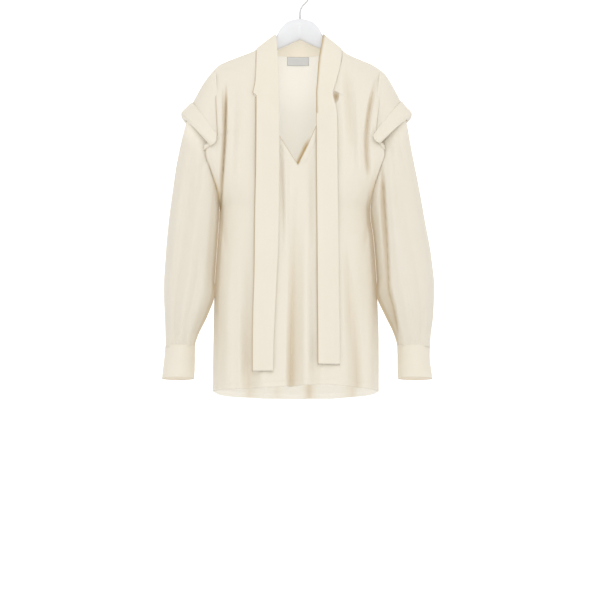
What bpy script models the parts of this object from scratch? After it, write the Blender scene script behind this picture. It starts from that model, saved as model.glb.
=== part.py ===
"""Tie neck blouse on a moulded hanger, in metres, +Z up, front facing -Y.

The origin is the inside top of the hanger's hook. Front, back, sleeves, over-sleeve caps with
turned-up bands, cuffs, neck band, two free tie ends and a blank label are walls of cloth that
hang from the hanger's arms, open at neck, hem and cuffs.
"""
import math

import bmesh
import bpy
from mathutils import Vector

# Driving sizes
CLOTH = 0.0012            # one layer of the silky cloth
DOUBLE = 0.0020           # two layers, as in neck band, ties and cuffs
SEAM = 0.0004             # space left between pieces that are sewn together
NECK_LEFT, NECK_RIGHT = -0.092, 0.088
BACK_NECK_Z = -0.147
NECK_BOW = 0.024          # how far the back bows out behind the hanger's head
NECK_CORNER = 0.002       # the panels' neck corners lie this far outside the neck seam
FRONT_HEM_Z, SIDE_HEM_Z, BACK_HEM_Z = -0.851, -0.857, -0.8625
TIE_TOP_Z = -0.2331
TIE_LIFT = 0.0031         # from the front's outer face to the tie's outer face
WIRE_RADIUS = 0.0019
HOOK_INNER_RADIUS = 0.0166
HEAD_TOP_Z = -0.065

FRONT_SIDE, BACK_SIDE = -1, 1

# Shoulder line seen from the front: hanger's head, leaning neck band and shoulders
SHOULDER = ("x z", (
    (-0.2100, -0.2080),
    (-0.1835, -0.1835),
    (-0.1660, -0.1690),
    (-0.1390, -0.1560),
    (-0.1110, -0.1435),
    (-0.0920, -0.1335),
    (-0.0700, -0.1170),
    (-0.0500, -0.1010),
    (-0.0400, -0.0860),
    (-0.0250, -0.0715),
    (0.0000, -0.0650),
    (0.0250, -0.0715),
    (0.0400, -0.0860),
    (0.0480, -0.1010),
    (0.0660, -0.1170),
    (0.0880, -0.1335),
    (0.1000, -0.1435),
    (0.1230, -0.1560),
    (0.1500, -0.1690),
    (0.1760, -0.1860),
    (0.2100, -0.2100),
))

# Side edges of the front: armhole, the bulge before the sleeve, then the side seam
FRONT_EDGE = ("z left right depth", (
    (-0.857, -0.1827, 0.1650, 0.0010),
    (-0.760, -0.1815, 0.1650, 0.0010),
    (-0.654, -0.1795, 0.1617, 0.0010),
    (-0.535, -0.1722, 0.1540, 0.0010),
    (-0.480, -0.1690, 0.1472, 0.0010),
    (-0.450, -0.1715, 0.1505, 0.0220),
    (-0.425, -0.1780, 0.1570, 0.0370),
    (-0.400, -0.1860, 0.1650, 0.0450),
    (-0.362, -0.1975, 0.1765, 0.0470),
    (-0.340, -0.1930, 0.1730, 0.0470),
    (-0.318, -0.1760, 0.1590, 0.0455),
    (-0.260, -0.1762, 0.1640, 0.0400),
    (-0.225, -0.1785, 0.1690, 0.0310),
    (-0.195, -0.1825, 0.1735, 0.0160),
    (-0.184, -0.1830, 0.1750, 0.0010),
    (-0.134, -0.1830, 0.1750, 0.0010),
))
BACK_EDGE = ("z left right depth", (
    (-0.857, -0.1827, 0.1650, 0.0010),
    (-0.760, -0.1815, 0.1650, 0.0010),
    (-0.654, -0.1795, 0.1617, 0.0010),
    (-0.535, -0.1722, 0.1540, 0.0010),
    (-0.480, -0.1690, 0.1472, 0.0010),
    (-0.440, -0.1690, 0.1480, 0.0220),
    (-0.380, -0.1700, 0.1520, 0.0380),
    (-0.318, -0.1712, 0.1570, 0.0420),
    (-0.260, -0.1752, 0.1640, 0.0380),
    (-0.225, -0.1785, 0.1690, 0.0300),
    (-0.195, -0.1825, 0.1735, 0.0160),
    (-0.184, -0.1830, 0.1750, 0.0010),
    (-0.134, -0.1830, 0.1750, 0.0010),
))

# How far the cloth stands before and behind the shoulder line, by the drop below it
DROP = ("drop front back", (
    (0.000, 0.0010, 0.0010),
    (0.002, 0.0062, 0.0062),
    (0.005, 0.0094, 0.0094),
    (0.012, 0.0120, 0.0120),
    (0.050, 0.0275, 0.0250),
    (0.100, 0.0450, 0.0400),
    (0.200, 0.0660, 0.0600),
    (0.340, 0.0840, 0.0800),
    (0.500, 0.0950, 0.0930),
    (0.730, 0.1040, 0.1040),
))

# Height of a panel's rows by the drop below the shoulder
ROW_STEPS = ("drop step", (
    (0.000, 0.0016),
    (0.012, 0.0060),
    (0.050, 0.0200),
    (0.110, 0.0240),
    (0.150, 0.0160),
    (0.300, 0.0160),
    (0.370, 0.0380),
    (0.720, 0.0420),
))

# Largest folds: a valley has a positive depth, a ridge a negative one
FOLDS = "x_top z_top x_low z_low depth half_width"
FRONT_FOLDS = (FOLDS, (
    (-0.155, -0.205, -0.163, -0.478, 0.0120, 0.014),
    (-0.046, -0.330, -0.036, -0.560, 0.0050, 0.020),
    (-0.118, -0.560, -0.101, -0.900, 0.0100, 0.030),
    (-0.018, -0.500, -0.006, -0.900, 0.0150, 0.026),
    (0.012, -0.540, 0.016, -0.900, -0.0060, 0.018),
    (0.094, -0.150, 0.112, -0.370, 0.0050, 0.020),
    (0.147, -0.205, 0.143, -0.440, 0.0120, 0.014),
    (0.108, -0.600, 0.128, -0.900, 0.0100, 0.028),
))
BACK_FOLDS = (FOLDS, (
    (-0.120, -0.300, -0.105, -0.900, 0.0110, 0.034),
    (-0.045, -0.420, -0.050, -0.900, 0.0070, 0.026),
    (0.018, -0.480, 0.019, -0.900, 0.0130, 0.024),
    (0.100, -0.330, 0.112, -0.900, 0.0110, 0.032),
))

# Sleeve rings, from the armhole to the cuff: each crosses from its outer to its inner end
RINGS = "outer_x outer_z inner_x inner_z half_depth middle_y"
LEFT_SLEEVE = (RINGS, (
    (-0.1850, -0.1960, -0.1725, -0.4700, 0.0300, -0.0360),
    (-0.1995, -0.2180, -0.1722, -0.4780, 0.0320, -0.0360),
    (-0.2160, -0.2440, -0.1715, -0.4860, 0.0350, -0.0365),
    (-0.2320, -0.2760, -0.1717, -0.4950, 0.0380, -0.0360),
    (-0.2420, -0.3050, -0.1722, -0.5080, 0.0430, -0.0360),
    (-0.2505, -0.3400, -0.1732, -0.5250, 0.0460, -0.0350),
    (-0.2592, -0.3830, -0.1748, -0.5520, 0.0500, -0.0330),
    (-0.2668, -0.4360, -0.1763, -0.5870, 0.0540, -0.0310),
    (-0.2755, -0.5040, -0.1786, -0.6240, 0.0580, -0.0290),
    (-0.2815, -0.5740, -0.1830, -0.6600, 0.0600, -0.0270),
    (-0.2850, -0.6400, -0.1953, -0.7020, 0.0590, -0.0250),
    (-0.2835, -0.6960, -0.2110, -0.7350, 0.0520, -0.0240),
    (-0.2815, -0.7430, -0.2184, -0.7560, 0.0420, -0.0230),
    (-0.2812, -0.7625, -0.2196, -0.7625, 0.0360, -0.0230),
))
RIGHT_SLEEVE = (RINGS, (
    (0.1770, -0.1965, 0.1506, -0.4700, 0.0310, -0.0340),
    (0.1890, -0.2170, 0.1504, -0.4780, 0.0325, -0.0340),
    (0.2035, -0.2430, 0.1500, -0.4860, 0.0350, -0.0345),
    (0.2165, -0.2720, 0.1507, -0.4960, 0.0380, -0.0340),
    (0.2250, -0.2980, 0.1508, -0.5090, 0.0430, -0.0345),
    (0.2310, -0.3320, 0.1525, -0.5270, 0.0460, -0.0335),
    (0.2394, -0.3770, 0.1545, -0.5530, 0.0500, -0.0320),
    (0.2500, -0.4310, 0.1568, -0.5860, 0.0540, -0.0300),
    (0.2620, -0.4990, 0.1600, -0.6240, 0.0580, -0.0280),
    (0.2752, -0.5750, 0.1637, -0.6580, 0.0600, -0.0265),
    (0.2812, -0.6400, 0.1806, -0.7030, 0.0590, -0.0250),
    (0.2793, -0.6960, 0.1943, -0.7310, 0.0520, -0.0240),
    (0.2735, -0.7430, 0.2016, -0.7540, 0.0420, -0.0230),
    (0.2722, -0.7625, 0.2037, -0.7625, 0.0360, -0.0230),
))
# Lengthwise folds of a sleeve: where across it (0 outer, 1 inner), between which rings
SLEEVE_FOLDS = "face across first last depth half_width"
LEFT_SLEEVE_FOLDS = (SLEEVE_FOLDS, (
    (FRONT_SIDE, 0.36, 5, 13, 0.0040, 0.13),
    (BACK_SIDE, 0.55, 3, 12, 0.0080, 0.16),
))
RIGHT_SLEEVE_FOLDS = (SLEEVE_FOLDS, (
    (FRONT_SIDE, 0.76, 3, 12.6, 0.0150, 0.11),
    (BACK_SIDE, 0.50, 3, 12, 0.0080, 0.16),
))
LEFT_CUFF = (RINGS, (
    (-0.2812, -0.7629, -0.2196, -0.7629, 0.0360, -0.0230),
    (-0.2835, -0.7850, -0.2195, -0.7850, 0.0375, -0.0230),
    (-0.2885, -0.8305, -0.2212, -0.8305, 0.0370, -0.0230),
))
RIGHT_CUFF = (RINGS, (
    (0.2722, -0.7629, 0.2037, -0.7629, 0.0360, -0.0230),
    (0.2712, -0.7850, 0.2040, -0.7850, 0.0375, -0.0230),
    (0.2772, -0.8305, 0.2043, -0.8305, 0.0370, -0.0230),
))

# Over-sleeve arches, from the armhole outwards: front end, over the top, back end
ARCHES = "outer_x outer_z end_x end_z half_depth middle_y"
LEFT_CAP = (ARCHES, (
    (-0.1848, -0.1845, -0.1738, -0.3300, 0.0460, -0.0380),
    (-0.1950, -0.1975, -0.1762, -0.3270, 0.0475, -0.0380),
    (-0.2100, -0.2205, -0.1790, -0.3220, 0.0500, -0.0380),
    (-0.2255, -0.2510, -0.1825, -0.3160, 0.0530, -0.0380),
    (-0.2392, -0.2850, -0.1930, -0.3350, 0.0560, -0.0380),
))
RIGHT_CAP = (ARCHES, (
    (0.1762, -0.1862, 0.1590, -0.3300, 0.0460, -0.0360),
    (0.1865, -0.2005, 0.1605, -0.3270, 0.0475, -0.0360),
    (0.1990, -0.2225, 0.1612, -0.3220, 0.0500, -0.0360),
    (0.2120, -0.2485, 0.1625, -0.3170, 0.0530, -0.0360),
    (0.2245, -0.2830, 0.1740, -0.3320, 0.0560, -0.0360),
))
LEFT_BAND = (ARCHES, (
    (-0.2275, -0.2492, -0.1822, -0.3125, 0.0550, -0.0380),
    (-0.2375, -0.2592, -0.1840, -0.3215, 0.0620, -0.0380),
    (-0.2490, -0.2715, -0.1875, -0.3300, 0.0660, -0.0380),
    (-0.2488, -0.2825, -0.1915, -0.3360, 0.0665, -0.0380),
    (-0.2425, -0.2895, -0.1945, -0.3400, 0.0620, -0.0380),
))
RIGHT_BAND = (ARCHES, (
    (0.2140, -0.2467, 0.1620, -0.3135, 0.0550, -0.0360),
    (0.2247, -0.2600, 0.1655, -0.3225, 0.0620, -0.0360),
    (0.2348, -0.2711, 0.1700, -0.3280, 0.0660, -0.0360),
    (0.2345, -0.2805, 0.1735, -0.3320, 0.0665, -0.0360),
    (0.2283, -0.2880, 0.1762, -0.3350, 0.0620, -0.0360),
))

# Neck band: its sewn edge and its free edge, from the left notch round the back to the right.
# side says which panel the sewn edge is sewn to, 0 being the crest of the shoulder.
NECK_BAND = ("side seam_x seam_z edge_x edge_y edge_z forward", (
    (FRONT_SIDE, -0.0980, -0.2325, -0.0435, -0.0538, -0.2325, 0.0031),
    (FRONT_SIDE, -0.0945, -0.2050, -0.0440, -0.0460, -0.2020, 0.0020),
    (FRONT_SIDE, -0.0930, -0.1720, -0.0460, -0.0360, -0.1600, 0.0006),
    (FRONT_SIDE, -0.0922, -0.1480, -0.0485, -0.0270, -0.1200, 0.0000),
    (FRONT_SIDE, -0.0920, -0.1375, -0.0500, -0.0200, -0.1040, 0.0000),
    (0, -0.0916, -0.1331, -0.0500, -0.0105, -0.1000, 0.0000),
    (BACK_SIDE, -0.0900, -0.1368, -0.0495, 0.0010, -0.1035, 0.0000),
    (BACK_SIDE, -0.0750, -0.1382, -0.0430, 0.0110, -0.1040, 0.0000),
    (BACK_SIDE, -0.0450, -0.1436, -0.0270, 0.0215, -0.1025, 0.0000),
    (BACK_SIDE, 0.0000, -0.1466, 0.0000, 0.0260, -0.1020, 0.0000),
    (BACK_SIDE, 0.0440, -0.1436, 0.0265, 0.0215, -0.1025, 0.0000),
    (BACK_SIDE, 0.0720, -0.1382, 0.0415, 0.0110, -0.1040, 0.0000),
    (BACK_SIDE, 0.0862, -0.1368, 0.0475, 0.0010, -0.1035, 0.0000),
    (0, 0.0876, -0.1331, 0.0480, -0.0100, -0.1000, 0.0000),
    (FRONT_SIDE, 0.0880, -0.1375, 0.0480, -0.0200, -0.1040, 0.0000),
    (FRONT_SIDE, 0.0882, -0.1480, 0.0455, -0.0270, -0.1200, 0.0000),
    (FRONT_SIDE, 0.0840, -0.1720, 0.0390, -0.0350, -0.1600, 0.0006),
    (FRONT_SIDE, 0.0760, -0.2050, 0.0360, -0.0445, -0.2020, 0.0020),
    (FRONT_SIDE, 0.0690, -0.2325, 0.0340, -0.0519, -0.2325, 0.0031),
))

# Edges of the free tie ends
TIES = "z outer_x inner_x"
LEFT_TIE = (TIES, (
    (-0.8230, -0.0985, -0.0560),
    (-0.7000, -0.0975, -0.0520),
    (-0.5500, -0.0950, -0.0450),
    (-0.4000, -0.0925, -0.0430),
    (TIE_TOP_Z, -0.0925, -0.0430),
))
RIGHT_TIE = (TIES, (
    (-0.8085, 0.0825, 0.0370),
    (-0.6500, 0.0810, 0.0365),
    (-0.4000, 0.0785, 0.0345),
    (-0.2600, 0.0780, 0.0340),
    (TIE_TOP_Z, 0.0690, 0.0340),
))

# Hanger arms: lower edge and thickness by distance from the ridge in the middle
HANGER = ("x low_z half_thick", (
    (-0.1700, -0.2000, 0.0050),
    (-0.1600, -0.2030, 0.0072),
    (-0.0920, -0.1600, 0.0070),
    (-0.0460, -0.1320, 0.0080),
    (0.0000, -0.1095, 0.0090),
    (0.0460, -0.1320, 0.0080),
    (0.0860, -0.1600, 0.0065),
    (0.1550, -0.2000, 0.0072),
    (0.1650, -0.2000, 0.0050),
))

LABEL_WIDTH, LABEL_HEIGHT, LABEL_THICK = 0.046, 0.018, 0.0008
LABEL_X, LABEL_TOP_Z = -0.004, -0.1500
LABEL_GAP = 0.0010         # the label is caught at its ends and stands a little off

COLOURS = {
    "ivory": (0.83, 0.75, 0.64),
    "label": (0.66, 0.64, 0.59),
    "hanger": (0.88, 0.89, 0.90),
    "steel": (0.62, 0.61, 0.60),
}


def read(table, name, key):
    """Value of a named column where the table's first column is key, smooth between rows."""
    columns, rows = table
    place = columns.split().index(name)
    rows = sorted(rows)
    keys = [row[0] for row in rows]
    values = [row[place] for row in rows]
    return smooth(keys, values, key)


def smooth(keys, values, at):
    """Monotone cubic curve through the values."""
    if at <= keys[0]:
        return values[0]
    if at >= keys[-1]:
        return values[-1]
    steps = [keys[i + 1] - keys[i] for i in range(len(keys) - 1)]
    slopes = [(values[i + 1] - values[i]) / steps[i] for i in range(len(steps))]

    def tangent(i):
        if i == 0:
            return slopes[0]
        if i == len(slopes):
            return slopes[-1]
        before, after = slopes[i - 1], slopes[i]
        if before * after <= 0:
            return 0.0
        return 2 * before * after / (before + after)

    i = max(k for k in range(len(steps)) if keys[k] <= at)
    t = (at - keys[i]) / steps[i]
    start, end = tangent(i) * steps[i], tangent(i + 1) * steps[i]
    return (
        (2 * t**3 - 3 * t**2 + 1) * values[i]
        + (t**3 - 2 * t**2 + t) * start
        + (3 * t**2 - 2 * t**3) * values[i + 1]
        + (t**3 - t**2) * end
    )


def row_at(table, position):
    """All columns of a table at a row position that need not be whole."""
    columns, rows = table
    places = list(range(len(rows)))
    names = columns.split()
    return {
        name: smooth(places, [row[i] for row in rows], position)
        for i, name in enumerate(names)
    }


def ease(value, start, end):
    """Rise smoothly from 0 at start to 1 at end."""
    t = min(max((value - start) / (end - start), 0.0), 1.0)
    return t * t * (3 - 2 * t)


def mid_y(x, z):
    """Depth of the line over the hanger's arms, which sweep forward."""
    sweep = 0.21 - 0.13 * ease(-z, 0.25, 0.85)
    return -sweep * (math.hypot(x, 0.015) - 0.015)


def neck_corner(x):
    """The panels' neck corner on the side where x is."""
    return NECK_LEFT - NECK_CORNER if x < 0 else NECK_RIGHT + NECK_CORNER


def body_shoulder_z(x):
    """Height of the panels' shoulder line, level across the neck."""
    corner = neck_corner(x)
    return read(SHOULDER, "z", x if abs(x) > abs(corner) else corner)


def fold_depth(folds, x, z):
    """Sum of the folds' depths at a place."""
    total = 0.0
    for x_top, z_top, x_low, z_low, depth, half_width in folds[1]:
        along = (z_top - z) / (z_top - z_low)
        if not 0 < along < 1:
            continue
        across = (x - (x_top + (x_low - x_top) * along)) / half_width
        if abs(across) >= 1:
            continue
        length_fade = ease(along, 0.0, 0.30) * (1 - ease(along, 0.85, 1.0))
        total += depth * length_fade * (0.5 + 0.5 * math.cos(math.pi * across))
    return total


def panel_depth(x, z, edge_table, column):
    """Distance of the panel from the shoulder's middle plane, before any fold."""
    left = read(edge_table, "left", z)
    right = read(edge_table, "right", z)
    across = min(abs((2 * x - left - right) / (right - left)), 1.0)
    drop = max(body_shoulder_z(x) - z, 0.0)
    deep = read(DROP, column, drop)
    edge = read(edge_table, "depth", z)
    rounded = edge + (deep - edge) * (1 - across**2.4) ** 0.55
    weight = ease(drop, 0.0, 0.10)
    return deep * (1 - weight) + rounded * weight


def plain_front_y(x, z):
    return mid_y(x, z) - panel_depth(x, z, FRONT_EDGE, "front")


def front_y(x, z):
    """Outer face of the front."""
    return plain_front_y(x, z) + fold_depth(FRONT_FOLDS, x, z)


def back_y(x, z):
    """Outer face of the back, bowed out between the shoulders at the neck."""
    across = x / neck_corner(x)
    bow = NECK_BOW * max(1 - across**4, 0.0) * (1 - ease(-z, 0.150, 0.260))
    depth = panel_depth(x, z, BACK_EDGE, "back")
    return mid_y(x, z) + depth + bow - fold_depth(BACK_FOLDS, x, z)


def back_top_z(x):
    """Top edge of the back: shoulder seam, dipping at the neck."""
    corner = neck_corner(x)
    if abs(x) >= abs(corner):
        return body_shoulder_z(x)
    return BACK_NECK_Z + (body_shoulder_z(x) - BACK_NECK_Z) * (x / corner) ** 2


def material(name, colour, roughness, metallic=0.0):
    made = bpy.data.materials.new(name)
    made.use_nodes = True
    shader = made.node_tree.nodes["Principled BSDF"]
    shader.inputs["Base Color"].default_value = (*COLOURS[colour], 1.0)
    shader.inputs["Roughness"].default_value = roughness
    shader.inputs["Metallic"].default_value = metallic
    return made


def add_object(name, bm, collection, colour="ivory", roughness=0.6, metallic=0.0):
    """Turn a bmesh into a smooth-shaded object with its own material."""
    mesh = bpy.data.meshes.new(name)
    bm.to_mesh(mesh)
    bm.free()
    mesh.shade_smooth()
    mesh.materials.append(material(name, colour, roughness, metallic))
    made = bpy.data.objects.new(name, mesh)
    collection.objects.link(made)
    return made


def placed_grid(columns, rows, place, flip=False, weld=False):
    """Grid whose vertices are put where place(u, v) says, u and v running from 0 to 1."""
    bm = bmesh.new()
    bmesh.ops.create_grid(bm, x_segments=columns, y_segments=rows, size=0.5)
    for vertex in bm.verts:
        vertex.co = Vector(place(vertex.co.x + 0.5, vertex.co.y + 0.5))
    if weld:
        bmesh.ops.remove_doubles(bm, verts=bm.verts, dist=0.00001)
    if flip:
        bmesh.ops.reverse_faces(bm, faces=bm.faces)
    return bm


def thicken(made, thickness):
    """Give a sheet its wall, inwards from the face it was drawn on."""
    solidify = made.modifiers.new("Wall", "SOLIDIFY")
    solidify.thickness = thickness
    solidify.offset = -1.0
    solidify.use_quality_normals = True
    return solidify


def row_shares(coarseness):
    """Where the rows lie from shoulder to hem, 0 to 1: fine over the arm and at the armhole."""
    drops = [0.0]
    while drops[-1] < ROW_STEPS[1][-1][0]:
        drops.append(drops[-1] + coarseness * read(ROW_STEPS, "step", drops[-1]))
    return [drop / drops[-1] for drop in drops]


def column_shares(columns, top_left, top_right):
    """Where the columns lie across the top, closer at the sides, one at each neck corner."""
    shares = []
    for index in range(columns + 1):
        even = index / columns
        shares.append(0.275 * (2 * even - 1) - 0.225 * math.cos(math.pi * even) + 0.5)
    for corner in (neck_corner(-1), neck_corner(1)):
        share = (corner - top_left) / (top_right - top_left)
        nearest = min(range(columns + 1), key=lambda index: abs(shares[index] - share))
        shares[nearest] = share
    return shares


def body_panel(name, collection, size, edge_table, top_z, hem_z, outer_y, facing):
    """Front or back: a grid from the shoulder seam to the hem, between its side edges."""
    columns, coarseness = size
    top_left, top_right = edge_table[1][-1][1:3]
    parts = column_shares(columns, top_left, top_right)
    shares = row_shares(coarseness)
    rows = len(shares) - 1

    def place(u, v):
        part = parts[round(u * columns)]
        share = shares[rows - round(v * rows)]
        top = top_z(top_left + (top_right - top_left) * part)
        z = top + (hem_z(2 * part - 1) - top) * share
        left_z = top_z(top_left) + (hem_z(-1) - top_z(top_left)) * share
        right_z = top_z(top_right) + (hem_z(1) - top_z(top_right)) * share
        left = read(edge_table, "left", left_z)
        right = read(edge_table, "right", right_z)
        x = left + (right - left) * part
        return x, outer_y(x, z), z

    bm = placed_grid(columns, rows, place, flip=facing == BACK_SIDE)
    made = add_object(name, bm, collection)
    thicken(made, CLOTH)
    return made


def prism(name, outline, near_y, far_y, collection):
    """Cutter: an outline in X and Z drawn out along Y."""
    bm = bmesh.new()
    face = bm.faces.new([bm.verts.new((x, near_y, z)) for x, z in outline])
    drawn = bmesh.ops.extrude_face_region(bm, geom=[face])
    moved = [item for item in drawn["geom"] if isinstance(item, bmesh.types.BMVert)]
    bmesh.ops.translate(bm, verts=moved, vec=(0, far_y - near_y, 0))
    bmesh.ops.recalc_face_normals(bm, faces=bm.faces)
    made = add_object(name, bm, collection)
    made.hide_render = True
    made.display_type = "WIRE"
    return made


def cut(made, cutter):
    boolean = made.modifiers.new("Cut", "BOOLEAN")
    boolean.operation = "DIFFERENCE"
    boolean.solver = "EXACT"
    boolean.object = cutter


def neck_outline():
    """Front neckline: down the neck band's seam, notch, then the V."""
    left = [(row[1] - SEAM, row[2]) for row in NECK_BAND[1][:4]]
    right = [(row[1] + SEAM, row[2]) for row in NECK_BAND[1][-4:]]
    above = [(NECK_RIGHT + SEAM, -0.1200), (NECK_LEFT - SEAM, -0.1200)]
    notch = [(0.0775, -0.2350), (0.0812, -0.2400), (0.0790, -0.2480), (0.0700, -0.2560)]
    return [(-0.0042, -0.3860), *left, *reversed(above), *right, *notch]


def sleeve_ring(row, turn, folds, position):
    """Point on a ring at a turn from 0 to 1, the front half first."""
    angle = 2 * math.pi * turn
    across = 0.5 - 0.5 * math.cos(angle)
    x = row["outer_x"] + (row["inner_x"] - row["outer_x"]) * across
    z = row["outer_z"] + (row["inner_z"] - row["outer_z"]) * across
    face = FRONT_SIDE if math.sin(angle) > 0 else BACK_SIDE
    depth = row["half_depth"] * abs(math.sin(angle))
    for side, at, first, last, deep, half_width in folds:
        offset = abs(across - at) / half_width
        if side != face or offset >= 1:
            continue
        fade = ease(position, first, first + 3) * (1 - ease(position, last - 2, last))
        depth -= deep * fade * (0.5 + 0.5 * math.cos(math.pi * offset))
    return x, row["middle_y"] + face * depth, z


def tube(name, collection, size, table, wall, folds=(None, ()), mirrored=False):
    """Sleeve or cuff: rings joined into an open tube."""
    columns, rows = size
    last = len(table[1]) - 1

    def place(u, v):
        position = (1 - v) * last
        return sleeve_ring(row_at(table, position), u % 1.0, folds[1], position)

    bm = placed_grid(columns, rows, place, flip=mirrored, weld=True)
    made = add_object(name, bm, collection)
    thicken(made, wall)
    return made


def arch_sheet(name, collection, size, table, wall, mirrored=False):
    """Over-sleeve piece: arches from the front end over the top to the back end."""
    columns, rows = size
    last = len(table[1]) - 1

    def place(u, v):
        row = row_at(table, (1 - v) * last)
        angle = math.pi * (0.5 - u)
        out = math.cos(angle)
        x = row["end_x"] + (row["outer_x"] - row["end_x"]) * out
        z = row["end_z"] + (row["outer_z"] - row["end_z"]) * out
        return x, row["middle_y"] - row["half_depth"] * math.sin(angle), z

    bm = placed_grid(columns, rows, place, flip=not mirrored)
    made = add_object(name, bm, collection)
    thicken(made, wall)
    return made


def neck_band(collection):
    """Scarf collar: lies on the front, leans over the hanger's arms, stands at the back."""
    names = NECK_BAND[0].split()
    seams, edges = [], []
    for values in NECK_BAND[1]:
        row = dict(zip(names, values))
        x, z = row["seam_x"], row["seam_z"]
        if row["side"] == FRONT_SIDE:
            y = front_y(x, z) - row["forward"]
        elif row["side"] == BACK_SIDE:
            y = back_y(x, z)
        else:
            y = mid_y(x, z)
        seams.append(Vector((x, y, z)))
        edges.append(Vector((row["edge_x"], row["edge_y"], row["edge_z"])))

    def along(points, position):
        places = list(range(len(points)))
        return Vector([smooth(places, [p[i] for p in points], position) for i in range(3)])

    def place(u, v):
        position = u * (len(seams) - 1)
        seam = along(seams, position)
        edge = along(edges, position)
        return seam.lerp(edge, v)

    bm = placed_grid(54, 3, place)
    made = add_object("neck_band", bm, collection)
    thicken(made, DOUBLE)


def tie_end(name, collection, table, low_z):
    """Free end of the scarf, hanging before the front."""
    def place(u, v):
        z = low_z + (TIE_TOP_Z - low_z) * v
        left, right = sorted((read(table, "outer_x", z), read(table, "inner_x", z)))
        x = left + (right - left) * u
        return x, plain_front_y(x, z) - TIE_LIFT, z

    bm = placed_grid(3, 22, place)
    made = add_object(name, bm, collection)
    thicken(made, DOUBLE)


def neck_label(collection):
    """Blank label on the inside of the back, just under the neck seam."""
    def place(u, v):
        x = LABEL_X + LABEL_WIDTH * (u - 0.5)
        z = LABEL_TOP_Z - LABEL_HEIGHT * (1 - v)
        return x, back_y(x, z) - CLOTH - LABEL_GAP - LABEL_THICK, z

    bm = placed_grid(6, 2, place)
    made = add_object("neck_label", bm, collection, "label", 0.7)
    thicken(made, LABEL_THICK)


def hanger_top_z(x):
    """Top of the hanger: bare at the head, under band or cloth further out."""
    covered = ease(abs(x), 0.044, 0.052)
    clearance = 0.0036 - 0.0010 * ease(abs(x), 0.098, 0.112)
    return read(SHOULDER, "z", x) - clearance * covered


def hanger(collection, cutters):
    """Moulded hanger: sections along its arms, with a bore for the hook's stem."""
    first, last = HANGER[1][0][0], HANGER[1][-1][0]
    sides = 12

    def place(u, v):
        x = first + (last - first) * v
        top, low = hanger_top_z(x), read(HANGER, "low_z", x)
        thick = read(HANGER, "half_thick", x)
        angle = 2 * math.pi * (u % 1.0)
        out, up = math.sin(angle), math.cos(angle)
        round_out = math.copysign(abs(out) ** 0.75, out)
        round_up = math.copysign(abs(up) ** 0.9, up)
        y = mid_y(x, -0.2) + thick * round_out
        return x, y, (top + low) / 2 + (top - low) / 2 * round_up

    bm = placed_grid(sides, 34, place, weld=True)
    bmesh.ops.holes_fill(bm, edges=[edge for edge in bm.edges if edge.is_boundary])
    bmesh.ops.recalc_face_normals(bm, faces=bm.faces)
    made = add_object("hanger", bm, collection, "hanger", 0.35)
    bore = bmesh.new()
    bmesh.ops.create_cone(
        bore, cap_ends=True, segments=12, depth=0.030,
        radius1=WIRE_RADIUS + 0.0004, radius2=WIRE_RADIUS + 0.0004,
    )
    bmesh.ops.translate(bore, verts=bore.verts, vec=(0, 0, HEAD_TOP_Z))
    cutter = add_object("stem_bore", bore, cutters)
    cutter.hide_render = True
    cutter.display_type = "WIRE"
    cut(made, cutter)


def hook(collection):
    """Question-mark wire: stem in the head, round over the hang point."""
    radius = HOOK_INNER_RADIUS + WIRE_RADIUS
    middle = Vector((0, 0, -HOOK_INNER_RADIUS))
    points = [Vector((0, 0, HEAD_TOP_Z - 0.0145)), Vector((0, 0, -0.054))]
    points += [Vector((0.0008, 0, -0.0460)), Vector((0.0048, 0, -0.0385))]
    steps = 20
    for step in range(steps + 1):
        angle = math.radians(-48 + 250 * step / steps)
        points.append(middle + radius * Vector((math.cos(angle), 0, math.sin(angle))))
    curve = bpy.data.curves.new("hanger_hook", "CURVE")
    curve.dimensions = "3D"
    curve.bevel_depth = WIRE_RADIUS
    curve.bevel_resolution = 2
    curve.use_fill_caps = True
    spline = curve.splines.new("POLY")
    spline.points.add(len(points) - 1)
    for point, place in zip(spline.points, points):
        point.co = (*place, 1.0)
    curve.materials.append(material("hanger_hook", "steel", 0.25, 1.0))
    made = bpy.data.objects.new("hanger_hook", curve)
    collection.objects.link(made)


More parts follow.
